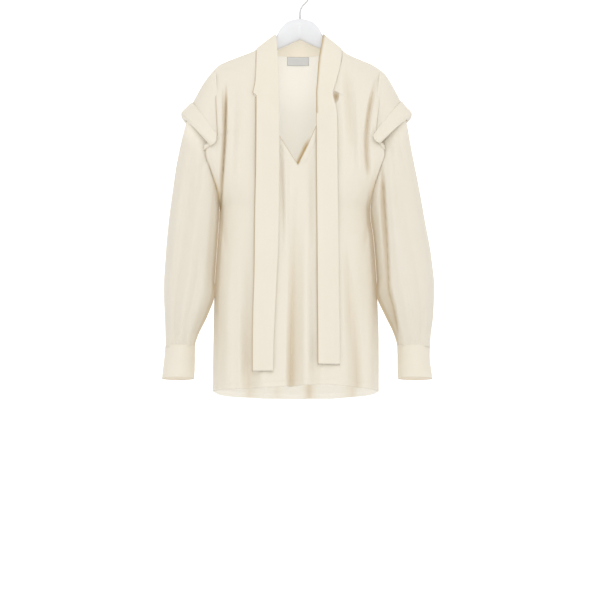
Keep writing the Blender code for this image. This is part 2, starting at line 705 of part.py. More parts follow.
def build():
    for old in list(bpy.data.objects):
        bpy.data.objects.remove(old)
    blouse = bpy.data.collections.new("tie_neck_blouse")
    cutters = bpy.data.collections.new("cutters")
    bpy.context.scene.collection.children.link(blouse)
    bpy.context.scene.collection.children.link(cutters)

    front = body_panel(
        "front", blouse, (30, 1.12), FRONT_EDGE, body_shoulder_z,
        lambda across: FRONT_HEM_Z + (SIDE_HEM_Z - FRONT_HEM_Z) * across**2,
        front_y, FRONT_SIDE,
    )
    cut(front, prism("neck_opening", neck_outline(), -0.25, 0.20, cutters))
    body_panel(
        "back", blouse, (24, 1.6), BACK_EDGE, back_top_z,
        lambda across: BACK_HEM_Z + (SIDE_HEM_Z - BACK_HEM_Z) * across**2,
        back_y, BACK_SIDE,
    )
    tube("sleeve_left", blouse, (20, 18), LEFT_SLEEVE, CLOTH, LEFT_SLEEVE_FOLDS)
    tube("sleeve_right", blouse, (20, 18), RIGHT_SLEEVE, CLOTH, RIGHT_SLEEVE_FOLDS, True)
    tube("cuff_left", blouse, (20, 2), LEFT_CUFF, DOUBLE)
    tube("cuff_right", blouse, (20, 2), RIGHT_CUFF, DOUBLE, mirrored=True)
    arch_sheet("cap_left", blouse, (16, 6), LEFT_CAP, CLOTH)
    arch_sheet("cap_right", blouse, (16, 6), RIGHT_CAP, CLOTH, True)
    arch_sheet("cap_band_left", blouse, (16, 6), LEFT_BAND, DOUBLE)
    arch_sheet("cap_band_right", blouse, (16, 6), RIGHT_BAND, DOUBLE, True)
    neck_band(blouse)
    tie_end("tie_left", blouse, LEFT_TIE, -0.8230)
    tie_end("tie_right", blouse, RIGHT_TIE, -0.8085)
    neck_label(blouse)
    hanger(blouse, cutters)
    hook(blouse)


build()
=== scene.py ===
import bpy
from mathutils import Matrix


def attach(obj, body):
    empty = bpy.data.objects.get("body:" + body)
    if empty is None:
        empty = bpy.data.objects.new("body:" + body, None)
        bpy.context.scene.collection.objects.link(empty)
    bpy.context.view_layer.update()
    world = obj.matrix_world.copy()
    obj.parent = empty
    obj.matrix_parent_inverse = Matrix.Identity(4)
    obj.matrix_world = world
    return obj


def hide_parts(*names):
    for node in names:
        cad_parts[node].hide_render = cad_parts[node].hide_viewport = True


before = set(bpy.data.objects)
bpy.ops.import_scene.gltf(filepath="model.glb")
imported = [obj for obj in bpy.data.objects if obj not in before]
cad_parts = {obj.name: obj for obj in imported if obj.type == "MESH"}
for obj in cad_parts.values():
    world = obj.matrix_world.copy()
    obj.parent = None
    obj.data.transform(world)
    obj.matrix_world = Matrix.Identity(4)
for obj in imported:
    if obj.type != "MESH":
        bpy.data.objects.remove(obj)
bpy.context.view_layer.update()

import math
from bisect import bisect_right

import bmesh
import bpy
from mathutils import Vector, noise

# Curves and tables


def smoothCurve(keys, values):
    # curve through the values that never swings past them
    steps = [keys[i + 1] - keys[i] for i in range(len(keys) - 1)]
    slopes = [(values[i + 1] - values[i]) / steps[i] for i in range(len(steps))]
    tangents = [slopes[0]]
    for before, after in zip(slopes, slopes[1:]):
        product = before * after
        tangents.append(2 * product / (before + after) if product > 0 else 0.0)
    tangents.append(slopes[-1])

    def at(key):
        if key <= keys[0]:
            return values[0]
        if key >= keys[-1]:
            return values[-1]
        i = bisect_right(keys, key) - 1
        t = (key - keys[i]) / steps[i]
        first, last = tangents[i] * steps[i], tangents[i + 1] * steps[i]
        rise = values[i + 1] - values[i]
        return values[i] + first * t + (3 * rise - 2 * first - last) * t**2 + (
            first + last - 2 * rise
        ) * t**3

    return at


def columnCurves(table, byRow=False):
    # one curve for each named column, over the first column or over the row's number
    names, rows = table[0].split(), table[1]
    if not byRow:
        rows = sorted(rows)
    keys = list(range(len(rows))) if byRow else [row[0] for row in rows]
    return {name: smoothCurve(keys, [row[i] for row in rows]) for i, name in enumerate(names)}


def valuesAt(curves, key):
    return {name: curve(key) for name, curve in curves.items()}


def ease(value, start, end):
    t = min(max((value - start) / (end - start), 0.0), 1.0)
    return t * t * (3 - 2 * t)


def hump(offset):
    # rounded hump, 1 in the middle and 0 from -1 and 1 outwards
    return 0.5 + 0.5 * math.cos(math.pi * offset) if abs(offset) < 1 else 0.0


# Shader nodes


class Link:
    # a node's output that can be used in sums
    def __init__(self, finish, socket):
        self.finish = finish
        self.socket = socket

    def maths(self, operation, first, second):
        return self.finish.node("ShaderNodeMath", {"operation": operation}, {0: first, 1: second})

    def __add__(self, other):
        return self.maths("ADD", self, other)

    def __radd__(self, other):
        return self.maths("ADD", other, self)

    def __sub__(self, other):
        return self.maths("SUBTRACT", self, other)

    def __mul__(self, other):
        return self.maths("MULTIPLY", self, other)


class Finish:
    # a material under construction
    def __init__(self, name):
        self.material = bpy.data.materials.new(name)
        self.material.use_nodes = True
        self.tree = self.material.node_tree
        self.tree.nodes.clear()

    def node(self, kind, settings=None, values=None, output=0):
        made = self.tree.nodes.new(kind)
        for name, value in (settings or {}).items():
            setattr(made, name, value)
        for name, value in (values or {}).items():
            if isinstance(value, Link):
                self.tree.links.new(value.socket, made.inputs[name])
            else:
                made.inputs[name].default_value = value
        return Link(self, made.outputs[output]) if made.outputs else made

    def mixColour(self, share, first, second):
        return self.node(
            "ShaderNodeMix", {"data_type": "RGBA"}, {0: share, 6: first, 7: second}, output=2
        )

    def place(self):
        return self.node("ShaderNodeTexCoord", output="Object")

    def clothPlace(self):
        return self.node("ShaderNodeTexCoord", output="UV")

    def noise(self, place, scale, detail):
        values = {"Vector": place, "Scale": scale, "Detail": detail, "Roughness": 0.55}
        return self.node("ShaderNodeTexNoise", None, values)

    def meshValue(self, name):
        return self.node("ShaderNodeAttribute", {"attribute_name": name}, output=2)

    def surface(self, values):
        shader = self.node("ShaderNodeBsdfPrincipled", None, values)
        self.node("ShaderNodeOutputMaterial", None, {"Surface": shader})
        return self.material


ivory = {
    "face": (0.850, 0.788, 0.668, 1.0),
    "faceWarm": (0.805, 0.726, 0.582, 1.0),
    # painted shade: the colour that creases, clefts and shaded edges take on
    "paintedCreaseShade": (0.480, 0.338, 0.155, 1.0),
    "roughness": 0.48,
    "sheen": 0.10,
    "spread": (0.0050, 0.0046, 0.0042),  # how far light spreads in the thin cloth
    "spreadShare": 0.15,
    "paintedGlowStrength": 0.31,  # painted light: a glow that stands in for light coming through the cloth to its inside
    # colours of the painted glow: on the inside, on the outside, and where painted shade lies
    "paintedInsideGlow": (0.75, 0.80, 0.83, 1.0),
    "paintedOutsideGlow": (0.84, 0.79, 0.69, 1.0),
    "paintedCreaseGlow": (0.78, 0.64, 0.43, 1.0),
    "cloudScale": 7.0,  # broad patches, a metre
    "cloudLow": 0.35,  # below this a patch has the plain face colour
    "cloudTint": 0.55,
    "mottleScale": 60.0,
    "mottleTint": 0.18,
    "mottleRoughness": 0.10,
    "crepeScale": 900.0,  # grains a metre
    "crepeRoughness": 0.08,
    "slubScale": 90.0,
    "grainHeight": 0.00006,
    "grainShares": (0.55, 0.20, 0.65),  # of crepe, yarns and slubs
    "threadSpacing": 0.00042,  # between yarns, in metres
    "waveLength": 0.314,  # of a wave texture at scale 1
}


def makeIvoryCloth(name, isInside=False):
    # painted light: the inside glows all over, and elsewhere the cloth glows where the mesh says;
    # painted shade darkens it where the mesh says
    finish = Finish(name)
    lit = 1.0 if isInside else finish.meshValue("lit")
    paintedDarkening = finish.meshValue("paintedShade")
    if isInside:
        paintedDarkening = paintedDarkening + finish.meshValue("insideShade")
    place = finish.place()
    cloth = finish.clothPlace()
    cloud = finish.noise(place, ivory["cloudScale"], 4.0)
    mottle = finish.noise(place, ivory["mottleScale"], 3.0)
    share = (cloud - ivory["cloudLow"]) * ivory["cloudTint"]
    share = share + (mottle - 0.5) * ivory["mottleTint"]
    plain = finish.mixColour(share, ivory["face"], ivory["faceWarm"])
    # painted shade: the colour turns dark and warm where the mesh says
    colour = finish.mixColour(paintedDarkening, plain, ivory["paintedCreaseShade"])
    # the glow is painted light, warmer and darker where painted shade lies
    paintedGlowColour = ivory["paintedInsideGlow"] if isInside else ivory["paintedOutsideGlow"]
    paintedDeepGlow = ivory["paintedCreaseShade"] if isInside else ivory["paintedCreaseGlow"]
    glow = finish.mixColour(paintedDarkening, paintedGlowColour, paintedDeepGlow)
    crepe = finish.noise(cloth, ivory["crepeScale"], 2.0)
    slub = finish.noise(cloth, ivory["slubScale"], 3.0)
    yarnScale = ivory["waveLength"] / ivory["threadSpacing"]
    yarns = finish.node(
        "ShaderNodeTexWave",
        {"wave_type": "BANDS", "bands_direction": "DIAGONAL"},
        {"Vector": cloth, "Scale": yarnScale, "Distortion": 0.6, "Detail": 1.0},
        output=1,
    )
    roughness = ivory["roughness"] + (mottle - 0.5) * ivory["mottleRoughness"]
    roughness = roughness + (crepe - 0.5) * ivory["crepeRoughness"]
    crepeShare, yarnShare, slubShare = ivory["grainShares"]
    grain = crepe * crepeShare + yarns * yarnShare + slub * slubShare
    normal = finish.node(
        "ShaderNodeBump", None,
        {"Strength": 0.55, "Distance": ivory["grainHeight"], "Height": grain},
    )
    return finish.surface({
        "Base Color": colour, "Roughness": roughness, "Normal": normal,
        "Sheen Weight": ivory["sheen"], "Sheen Roughness": 0.4,
        "Subsurface Weight": ivory["spreadShare"], "Subsurface Radius": ivory["spread"],
        "Subsurface Scale": 1.0,
        "Emission Color": finish.mixColour(lit, (0.0, 0.0, 0.0, 1.0), glow),
        "Emission Strength": ivory["paintedGlowStrength"],
        "Specular IOR Level": 0.35,
    })


def makeLabelTape():
    finish = Finish("blankLabelTape")
    place = finish.place()
    ribs = finish.node(
        "ShaderNodeTexWave", {"wave_type": "BANDS", "bands_direction": "Z"},
        {"Vector": place, "Scale": 520.0, "Distortion": 0.3}, output=1,
    )
    fleck = finish.noise(place, 1400.0, 2.0)
    tape = finish.mixColour(fleck, (0.82, 0.825, 0.825, 1.0), (0.88, 0.885, 0.885, 1.0))
    # painted shade along the label's edges
    colour = finish.mixColour(finish.meshValue("paintedShade"), tape, (0.42, 0.38, 0.32, 1.0))
    normal = finish.node(
        "ShaderNodeBump", None,
        {"Strength": 0.5, "Distance": 0.00008, "Height": ribs + fleck * 0.6},
    )
    return finish.surface({
        "Base Color": colour, "Roughness": 0.72 + (fleck - 0.5) * 0.1, "Normal": normal,
        "Specular IOR Level": 0.3,
    })


def makeHangerPlastic():
    finish = Finish("whiteMouldedPlastic")
    place = finish.place()
    cloud = finish.noise(place, 30.0, 3.0)
    scuff = finish.noise(place, 700.0, 2.0)
    colour = finish.mixColour(cloud, (0.87, 0.875, 0.885, 1.0), (0.81, 0.815, 0.825, 1.0))
    normal = finish.node(
        "ShaderNodeBump", None, {"Strength": 0.3, "Distance": 0.00005, "Height": scuff},
    )
    return finish.surface({
        "Base Color": colour, "Roughness": 0.30 + (cloud - 0.5) * 0.12, "Normal": normal,
        "Coat Weight": 0.15, "Coat Roughness": 0.2,
    })


def makeHookWire():
    finish = Finish("polishedHookWire")
    place = finish.place()
    drawn = finish.noise(place, 900.0, 2.0)
    colour = finish.mixColour(drawn, (0.62, 0.61, 0.60, 1.0), (0.55, 0.54, 0.53, 1.0))
    return finish.surface({
        "Base Color": colour, "Roughness": 0.22 + drawn * 0.12, "Metallic": 1.0,
    })


ivoryCloth = makeIvoryCloth("ivoryCrepe")
# a copy of the cloth for insides, which glows all over as painted light
paintedGlowInsideCloth = makeIvoryCloth("ivoryCrepeInsidePaintedGlow", True)
labelTape = makeLabelTape()
hangerPlastic = makeHangerPlastic()
hookWire = makeHookWire()
print("materials made")

# The garment's own form, shared by the pieces that lie on each other

form = {
    "neckLeft": -0.092,
    "neckRight": 0.088,
    "neckCorner": 0.002,  # the panels' neck corners lie this far outside the neck seam
    "leftTop": -0.1830,  # where the shoulder seam meets the armholes
    "rightTop": 0.1750,
    "backNeckZ": -0.141,
    "neckBow": 0.024,  # the back bows out behind the hanger's head
    "bowFade": (0.150, 0.260),
    "sideHemZ": -0.857,
    "notchZ": -0.236,  # where the ties leave the neck band
    "neckLowZ": -0.386,  # the low end of the V
    "sweep": 0.21,  # how much the hanger's arms come forward, for each metre outwards
    "sweepLoss": 0.13,  # how much of that the cloth has lost at the hem
    "sweepFade": (0.25, 0.85),
    "armBend": 0.015,
}
# how far the hanging cloth wanders from its plain form, and the size of its waves
uneven = {
    "depth": 0.0009,
    "origin": Vector((7.3, 1.9, 4.1)),
    "stretch": 2.6,
    "body": 0.075,
    "sleeves": 0.060,
    "caps": 0.035,
}
shoulderLine = columnCurves(("x z", (
    (-0.21, -0.208), (-0.1835, -0.1835), (-0.166, -0.169), (-0.139, -0.156), (-0.111, -0.1435),
    (-0.092, -0.1335), (-0.07, -0.117), (-0.05, -0.101), (-0.04, -0.086), (-0.025, -0.0715),
    (0.0, -0.065), (0.025, -0.0715), (0.04, -0.086), (0.048, -0.101), (0.066, -0.117),
    (0.088, -0.1335), (0.1, -0.1435), (0.123, -0.156), (0.15, -0.169), (0.176, -0.186),
    (0.21, -0.21),
)))
# side edges: side seam up to the underarm, then the armhole up to the shoulder
sideSeam = (
    (-0.857, -0.1827, 0.165, 0.0004), (-0.76, -0.1815, 0.165, 0.0004),
    (-0.654, -0.1795, 0.1617, 0.0004), (-0.535, -0.1722, 0.154, 0.0004),
    (-0.48, -0.169, 0.1472, 0.0004),
)
frontEdge = columnCurves(("z left right depth", sideSeam + (
    (-0.45, -0.1715, 0.1505, 0.022), (-0.425, -0.178, 0.157, 0.037),
    (-0.4, -0.186, 0.165, 0.0455), (-0.362, -0.1975, 0.1765, 0.048),
    (-0.342, -0.19, 0.171, 0.0488), (-0.325, -0.173, 0.159, 0.0482),
    (-0.3, -0.1738, 0.1605, 0.0465), (-0.26, -0.176, 0.165, 0.0415),
    (-0.225, -0.1784, 0.1692, 0.0332), (-0.2, -0.1803, 0.1725, 0.0225),
    (-0.19, -0.1815, 0.174, 0.015), (-0.184, -0.1825, 0.1748, 0.004),
    (-0.134, -0.183, 0.175, 0.001),
)))
backEdge = columnCurves(("z left right depth", sideSeam + (
    (-0.44, -0.169, 0.148, 0.022), (-0.38, -0.17, 0.152, 0.038),
    (-0.318, -0.1712, 0.157, 0.042), (-0.26, -0.1752, 0.164, 0.038),
    (-0.225, -0.1785, 0.169, 0.03), (-0.195, -0.1825, 0.1735, 0.016),
    (-0.184, -0.183, 0.175, 0.001), (-0.134, -0.183, 0.175, 0.001),
)))
# how far the cloth stands before and behind the shoulder line, by the drop below it
standOff = columnCurves(("drop front back", (
    (0.0, 0.001, 0.001), (0.002, 0.0062, 0.0062), (0.005, 0.0094, 0.0094),
    (0.012, 0.012, 0.012), (0.05, 0.0275, 0.025), (0.1, 0.045, 0.04), (0.2, 0.066, 0.06),
    (0.34, 0.084, 0.08), (0.5, 0.095, 0.093), (0.73, 0.104, 0.104),
)))
# height of a panel's rows by the drop below the shoulder
rowStep = columnCurves(("drop step", (
    (0.0, 0.001), (0.012, 0.0026), (0.06, 0.0038), (0.088, 0.0022), (0.125, 0.0022),
    (0.15, 0.0038), (0.33, 0.0038), (0.4, 0.0058), (0.69, 0.0058), (0.715, 0.0026),
    (0.735, 0.0016),
)))
# the hem across the panel, from the left side seam to the right one
hemLine = columnCurves(("across front back", (
    (-1.0, -0.857, -0.857), (-0.93, -0.8574, -0.8608), (-0.8, -0.858, -0.8626),
    (-0.5, -0.8574, -0.8636), (-0.15, -0.854, -0.864), (0.3, -0.8495, -0.8638),
    (0.65, -0.8528, -0.8632), (0.93, -0.8565, -0.86), (1.0, -0.857, -0.857),
)))

# A fold runs from its top to its low end: a valley has a positive depth and a ridge a negative
# one, lean widens its right side, bend bows it, crisp sharpens it, and it rises and falls over
# those shares of its length. The columns are
# xTop, zTop, xLow, zLow, depth, halfWidth, lean, bend, crisp, rise, fall.
frontFolds = (
    (-0.155, -0.2, -0.1678, -0.486, 0.0115, 0.008, -0.4, 0.0045, 0.85, 0.25, 0.06),
    (-0.1614, -0.21, -0.16, -0.31, 0.0022, 0.004, 0.0, 0.0, 0.6, 0.35, 0.4),
    (-0.142, -0.23, -0.15, -0.52, -0.0035, 0.015, 0.0, 0.003, 0.0, 0.3, 0.4),
    (-0.124, -0.17, -0.13, -0.42, 0.0022, 0.012, 0.0, 0.0, 0.1, 0.4, 0.5),
    (-0.151, -0.52, -0.15, -0.95, -0.005, 0.02, 0.0, 0.0, 0.0, 0.55, 0.05),
    (-0.113, -0.5, -0.106, -0.96, 0.0125, 0.03, 0.3, 0.0, 0.1, 0.75, 0.02),
    (-0.086, -0.56, -0.078, -0.96, -0.004, 0.018, 0.0, 0.0, 0.0, 0.6, 0.02),
    (-0.043, -0.3, -0.033, -0.58, 0.0045, 0.011, 0.2, 0.0, 0.3, 0.35, 0.45),
    (-0.033, -0.33, -0.027, -0.64, -0.003, 0.01, 0.0, 0.0, 0.0, 0.35, 0.45),
    (-0.0035, -0.39, -0.0195, -0.96, 0.0165, 0.02, 0.35, -0.004, 0.35, 0.8, 0.02),
    (0.009, -0.44, 0.012, -0.96, -0.008, 0.017, 0.0, 0.002, 0.0, 0.7, 0.02),
    (0.023, -0.33, 0.028, -0.62, 0.003, 0.01, 0.0, 0.0, 0.2, 0.4, 0.45),
    (0.034, -0.7, 0.03, -0.96, 0.004, 0.016, 0.0, 0.0, 0.0, 0.6, 0.02),
    (0.094, -0.15, 0.112, -0.4, 0.0055, 0.018, 0.1, 0.0, 0.35, 0.35, 0.5),
    (0.118, -0.19, 0.126, -0.47, -0.003, 0.012, 0.0, 0.0, 0.0, 0.4, 0.4),
    (0.164, -0.19, 0.145, -0.43, 0.0095, 0.0085, 0.2, -0.015, 0.5, 0.3, 0.2),
    (0.096, -0.52, 0.108, -0.8, 0.005, 0.014, 0.0, 0.0, 0.3, 0.45, 0.4),
    (0.108, -0.59, 0.124, -0.96, 0.012, 0.024, -0.2, 0.0, 0.25, 0.65, 0.02),
    (0.145, -0.56, 0.15, -0.96, -0.0045, 0.016, 0.0, 0.0, 0.0, 0.5, 0.02),
    (-0.17, -0.47, -0.148, -0.6, 0.0025, 0.01, 0.0, 0.0, 0.2, 0.3, 0.6),
    (0.148, -0.48, 0.128, -0.6, 0.0025, 0.01, 0.0, 0.0, 0.2, 0.3, 0.6),
)
backFolds = (
    (-0.146, -0.2, -0.156, -0.47, 0.011, 0.014, -0.2, 0.003, 0.6, 0.25, 0.2),
    (-0.123, -0.29, -0.105, -0.96, 0.012, 0.034, 0.2, 0.0, 0.15, 0.6, 0.02),
    (-0.082, -0.36, -0.076, -0.96, -0.004, 0.02, 0.0, 0.0, 0.0, 0.6, 0.02),
    (-0.045, -0.42, -0.05, -0.96, 0.008, 0.026, 0.0, 0.0, 0.1, 0.6, 0.02),
    (-0.018, -0.3, -0.016, -0.7, -0.003, 0.016, 0.0, 0.0, 0.0, 0.4, 0.5),
    (0.018, -0.48, 0.019, -0.96, 0.014, 0.024, 0.1, 0.0, 0.35, 0.7, 0.02),
    (0.06, -0.38, 0.064, -0.96, -0.004, 0.022, 0.0, 0.0, 0.0, 0.5, 0.02),
    (0.101, -0.32, 0.113, -0.96, 0.012, 0.032, -0.2, 0.0, 0.15, 0.6, 0.02),
    (0.138, -0.2, 0.134, -0.46, 0.011, 0.014, 0.2, -0.003, 0.6, 0.25, 0.2),
    (-0.06, -0.175, -0.09, -0.33, 0.0025, 0.014, 0.0, 0.0, 0.1, 0.4, 0.5),
    (0.062, -0.178, 0.086, -0.35, 0.0022, 0.012, 0.0, 0.0, 0.1, 0.4, 0.5),
)
# how much painted shade a valley takes, by its depth and by how soft or crisp it is
valleyShadePainting = {
    "body": {"fullDepth": 0.014, "soft": 0.225, "crisp": 0.675, "power": 2.0},
    "sleeve": {"fullDepth": 0.016, "soft": 0.225, "crisp": 0.540, "power": 1.5},
}

# the ties lie on the front, with their left edges standing off it
tieColumns = "z outer inner outerLift innerLift"
leftTie = (tieColumns, (
    (-0.823, -0.0985, -0.056, 0.003, 0.001),
    (-0.76, -0.0985, -0.0545, 0.0032, 0.0006),
    (-0.7, -0.0978, -0.052, 0.0026, 0.0004),
    (-0.62, -0.0955, -0.048, 0.0032, 0.0),
    (-0.56, -0.0948, -0.0452, 0.0048, 0.0002),
    (-0.5, -0.0945, -0.044, 0.003, 0.0006),
    (-0.4, -0.0928, -0.043, 0.0026, 0.0004),
    (-0.3, -0.0922, -0.043, 0.0022, 0.0002),
    (-0.24, -0.0922, -0.0432, 0.0016, 0.0),
))
rightTie = (tieColumns, (
    (-0.8085, 0.0825, 0.037, 0.0004, 0.0034),
    (-0.76, 0.0826, 0.0368, 0.0004, 0.0028),
    (-0.65, 0.0812, 0.0362, 0.0002, 0.0032),
    (-0.52, 0.08, 0.0354, 0.0006, 0.0022),
    (-0.4, 0.0786, 0.0345, 0.0004, 0.0028),
    (-0.3, 0.0782, 0.0342, 0.0002, 0.0024),
    (-0.275, 0.0772, 0.0341, 0.0002, 0.0022),
    (-0.26, 0.075, 0.034, 0.0002, 0.002),
    (-0.25, 0.072, 0.034, 0.0002, 0.0018),
    (-0.24, 0.07, 0.034, 0.0002, 0.0016),
))
shadeStops = 0.004  # above a tie's end, the shade beside its left edge
tieEnds = {"left": leftTie[1][0][0] + shadeStops, "right": rightTie[1][0][0] + shadeStops}
leftEdgeOf = {"left": columnCurves(leftTie)["outer"], "right": columnCurves(rightTie)["inner"]}


def armY(x, z):
    # depth of the line over the hanger's arms, which sweep forward
    sweep = form["sweep"] - form["sweepLoss"] * ease(-z, *form["sweepFade"])
    return -sweep * (math.hypot(x, form["armBend"]) - form["armBend"])


def cornerX(side):
    if side < 0:
        return form["neckLeft"] - form["neckCorner"]
    return form["neckRight"] + form["neckCorner"]


def shoulderZ(x):
    corner = cornerX(x)
    return shoulderLine["z"](x if abs(x) > abs(corner) else corner)


def foldOffset(spot, top, low, along, bend, halfWidth, lean):
    # where a spot lies across a bowed fold, from -1 to 1; lean widens the side over 0
    middle = top + (low - top) * along + bend * 4 * along * (1 - along)
    offset = (spot - middle) / halfWidth
    return offset / (1 + lean if offset > 0 else 1 - lean)


def foldProfile(offset, crisp):
    soft = hump(offset)
    sharp = (1 - abs(offset)) ** 2.2
    return soft + (sharp - soft) * crisp


# painted shade in a fold's valley, more in deep and crisp valleys
def paintValleyShade(kind, depth, offset, crisp):
    if depth <= 0:
        return 0.0
    tint = valleyShadePainting[kind]
    strength = min(depth / tint["fullDepth"], 1.0) * (tint["soft"] + tint["crisp"] * crisp)
    return strength * (1 - abs(offset)) ** tint["power"]


def foldsAt(folds, x, z):
    # how deep the folds lie at a place, and how much painted shade their valleys take
    depthHere, paintedShadeHere = 0.0, 0.0
    for xTop, zTop, xLow, zLow, depth, halfWidth, lean, bend, crisp, rise, fall in folds:
        along = (zTop - z) / (zTop - zLow)
        if not 0 < along < 1:
            continue
        offset = foldOffset(x, xTop, xLow, along, bend, halfWidth, lean)
        if abs(offset) >= 1:
            continue
        fade = ease(along, 0.0, rise) * (1 - ease(along, 1 - fall, 1.0))
        depthHere += depth * fade * foldProfile(offset, crisp)
        paintedShadeHere += fade * paintValleyShade("body", depth, offset, crisp)
    return depthHere, paintedShadeHere


def wander(x, y, z, size=uneven["body"]):
    # slow, uneven drift of hanging cloth, longer down the cloth than across it
    spot = Vector((x / size, y / size, z / (uneven["stretch"] * size)))
    return uneven["depth"] * noise.noise(spot + uneven["origin"])


panel = {
    "rim": 0.06,  # share of half the width in which the side edges turn in
    "rimPower": 0.4,
    "acrossPower": 2.4,
    "depthPower": 0.55,
    "roundAt": 0.10,  # drop below the shoulder at which the panel is fully round
}


def panelDepth(x, z, edge, column):
    left, right = edge["left"](z), edge["right"](z)
    across = min(abs((2 * x - left - right) / (right - left)), 1.0)
    drop = max(shoulderZ(x) - z, 0.0)
    deep = standOff[column](drop)
    rimDepth = edge["depth"](z)
    bulge = (1 - across ** panel["acrossPower"]) ** panel["depthPower"]
    bulge *= min((1 - across) / panel["rim"], 1.0) ** panel["rimPower"]
    rounded = rimDepth + (deep - rimDepth) * bulge
    weight = ease(drop, 0.0, panel["roundAt"])
    return deep * (1 - weight) + rounded * weight


def plainFrontY(x, z):
    return armY(x, z) - panelDepth(x, z, frontEdge, "front")


def plainBackY(x, z):
    across = x / cornerX(x)
    bow = form["neckBow"] * max(1 - across**4, 0.0) * (1 - ease(-z, *form["bowFade"]))
    return armY(x, z) + panelDepth(x, z, backEdge, "back") + bow


def backY(x, z):
    return plainBackY(x, z) - foldsAt(backFolds, x, z)[0] - wander(x, 1.0, z)


def backTopZ(x):
    corner = cornerX(x)
    if abs(x) >= abs(corner):
        return shoulderZ(x)
    return form["backNeckZ"] + (shoulderZ(x) - form["backNeckZ"]) * (x / corner) ** 2


# Making a sheet

# painted shade, painted light (a glow standing in for light through the cloth), and painted shade
# on the inside
shadeNames = ("paintedShade", "lit", "insideShade")


def shapedGrid(columns, rows, place, flip=False, weld=False, flat=(1.0, 1.0)):
    # a grid whose points go where place says, with a UV map in metres of flat cloth; after
    # x, y and z, place may give up to three shades in the order of shadeNames
    grid = bmesh.new()
    bmesh.ops.create_grid(grid, x_segments=columns, y_segments=rows, size=0.5)
    layer = grid.loops.layers.uv.new("cloth")
    for name in shadeNames:
        grid.verts.layers.float.new(name)
    shadeLayers = [grid.verts.layers.float[name] for name in shadeNames]
    for face in grid.faces:
        for loop in face.loops:
            spot = loop.vert.co
            loop[layer].uv = ((spot.x + 0.5) * flat[0], (spot.y + 0.5) * flat[1])
    for vertex in grid.verts:
        x, y, z, *shades = place(vertex.co.x + 0.5, vertex.co.y + 0.5)
        vertex.co = Vector((x, y, z))
        for shadeLayer, shade in zip(shadeLayers, shades):
            vertex[shadeLayer] = min(max(shade, 0.0), 1.0)
    if weld:
        bmesh.ops.remove_doubles(grid, verts=grid.verts, dist=0.00001)
    if flip:
        bmesh.ops.reverse_faces(grid, faces=grid.faces)
    return grid


def addObject(name, data):
    made = bpy.data.objects.new(name, data)
    bpy.context.scene.collection.objects.link(made)
    return made


def addMesh(name, mesh, finish):
    data = bpy.data.meshes.new(name)
    mesh.to_mesh(data)
    mesh.free()
    data.materials.append(finish)
    return addObject(name, data)


def addPiece(name, mesh, finish, slotName, *cadNodes):
    made = addMesh(name, mesh, finish)
    made.data.shade_smooth()
    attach(made, "root")
    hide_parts(*cadNodes)
    return made


def giveWall(made, thickness):
    wall = made.modifiers.new("Wall", "SOLIDIFY")
    wall.thickness = thickness
    wall.offset = -1.0
    wall.use_quality_normals = True
    return wall


def clothPiece(name, mesh, cloth, restsOn):
    surface = sum(face.calc_area() for face in mesh.faces)
    print(name, "has", round(surface, 4), "square metres of cloth, cut from", cloth["area"])
    first, *others = name.split("_")
    pieceName = first + "".join(word.capitalize() for word in others) + "Cloth"
    made = addPiece(pieceName, mesh, ivoryCloth, "cloth", name)
    wall = giveWall(made, cloth["thickness"])
    # the back's and the cuffs' inside faces get the copy that glows, painted light with painted
    # shade
    if first in ("back", "cuff"):
        made.data.materials.append(paintedGlowInsideCloth)
        wall.material_offset = 1


def rowShares(coarseness):
    # where a panel's rows lie, as shares of the way from the shoulder to the hem
    drops = [0.0]
    while drops[-1] < front["flat"][1]:
        drops.append(drops[-1] + coarseness * rowStep["step"](drops[-1]))
    return [drop / drops[-1] for drop in drops]


hem = {
    "height": 0.011,
    "turn": 0.001,
    "stitchHalfWidth": 0.0025,
    "stitchDepth": 0.0009,
    "proud": 0.35,  # as a share of the stitches' depth
}


def hemGroove(above):
    # the turned hem is a little proud, and its stitches pull a line in above it
    turned = 1 - ease(above, hem["height"] - hem["turn"], hem["height"] + hem["turn"])
    stitched = hump((above - hem["height"]) / hem["stitchHalfWidth"])
    return hem["stitchDepth"] * (stitched - hem["proud"] * turned)


# Front, as two halves that meet below the V

front = {
    "thickness": 0.0008,
    "columns": 112,  # in each half
    "crowding": 1.12,  # over 1, the columns lie closer together at the side
    "coarseness": 1.0,
    "flat": (0.42, 0.735),
    "halfFlat": (0.22, 0.74),
    "area": 0.258,
    "turnStart": (0.262, 0.290),
    "turnWidth": 0.011,  # the turned edge along the V
    "turnHalfStitch": 0.003,
    "turnDepth": 0.0007,
    "slant": 0.85,  # distance from the V's edge, for each metre in x
    "leftCurl": 0.0006,  # how far the V's edges stand forward
    "rightCurl": 0.0042,
    "curlWidth": 0.013,
    "curlFade": 0.014,
    "armholeLowZ": -0.500,
    "cleftTop": (0.400, 0.440),
    "cleftLow": (0.640, 0.700),
}
# lines of painted shade, by their strength and half width
frontShades = {
    "tie": (0.50, 0.0022),
    "armhole": (0.45, 0.0035),
    "neckline": (0.55, 0.0024),
    "cleft": (0.60, 0.0050),  # beside the sleeves; painted light is added there, too
}
tieOverhang = 0.0004  # of the ties' left edges over the middle of their shade
neckline = columnCurves(("z left right", (
    (-0.386, -0.0042, -0.0042), (-0.36, -0.0204, 0.0087), (-0.262, -0.0805, 0.06),
    (-0.257, -0.0835, 0.0735), (-0.25, -0.0876, 0.0785), (-0.243, -0.092, 0.0815),
    (-0.237, -0.0957, 0.0817), (-0.231, -0.0988, 0.079), (-0.2265, -0.098, 0.0705),
    (-0.205, -0.0949, 0.0764), (-0.172, -0.0934, 0.0844), (-0.148, -0.0926, 0.0886),
    (-0.1335, -0.0924, 0.0884),
)))


def shadeLine(name, distance):
    strength, halfWidth = frontShades[name]
    return strength * hump(distance / halfWidth)


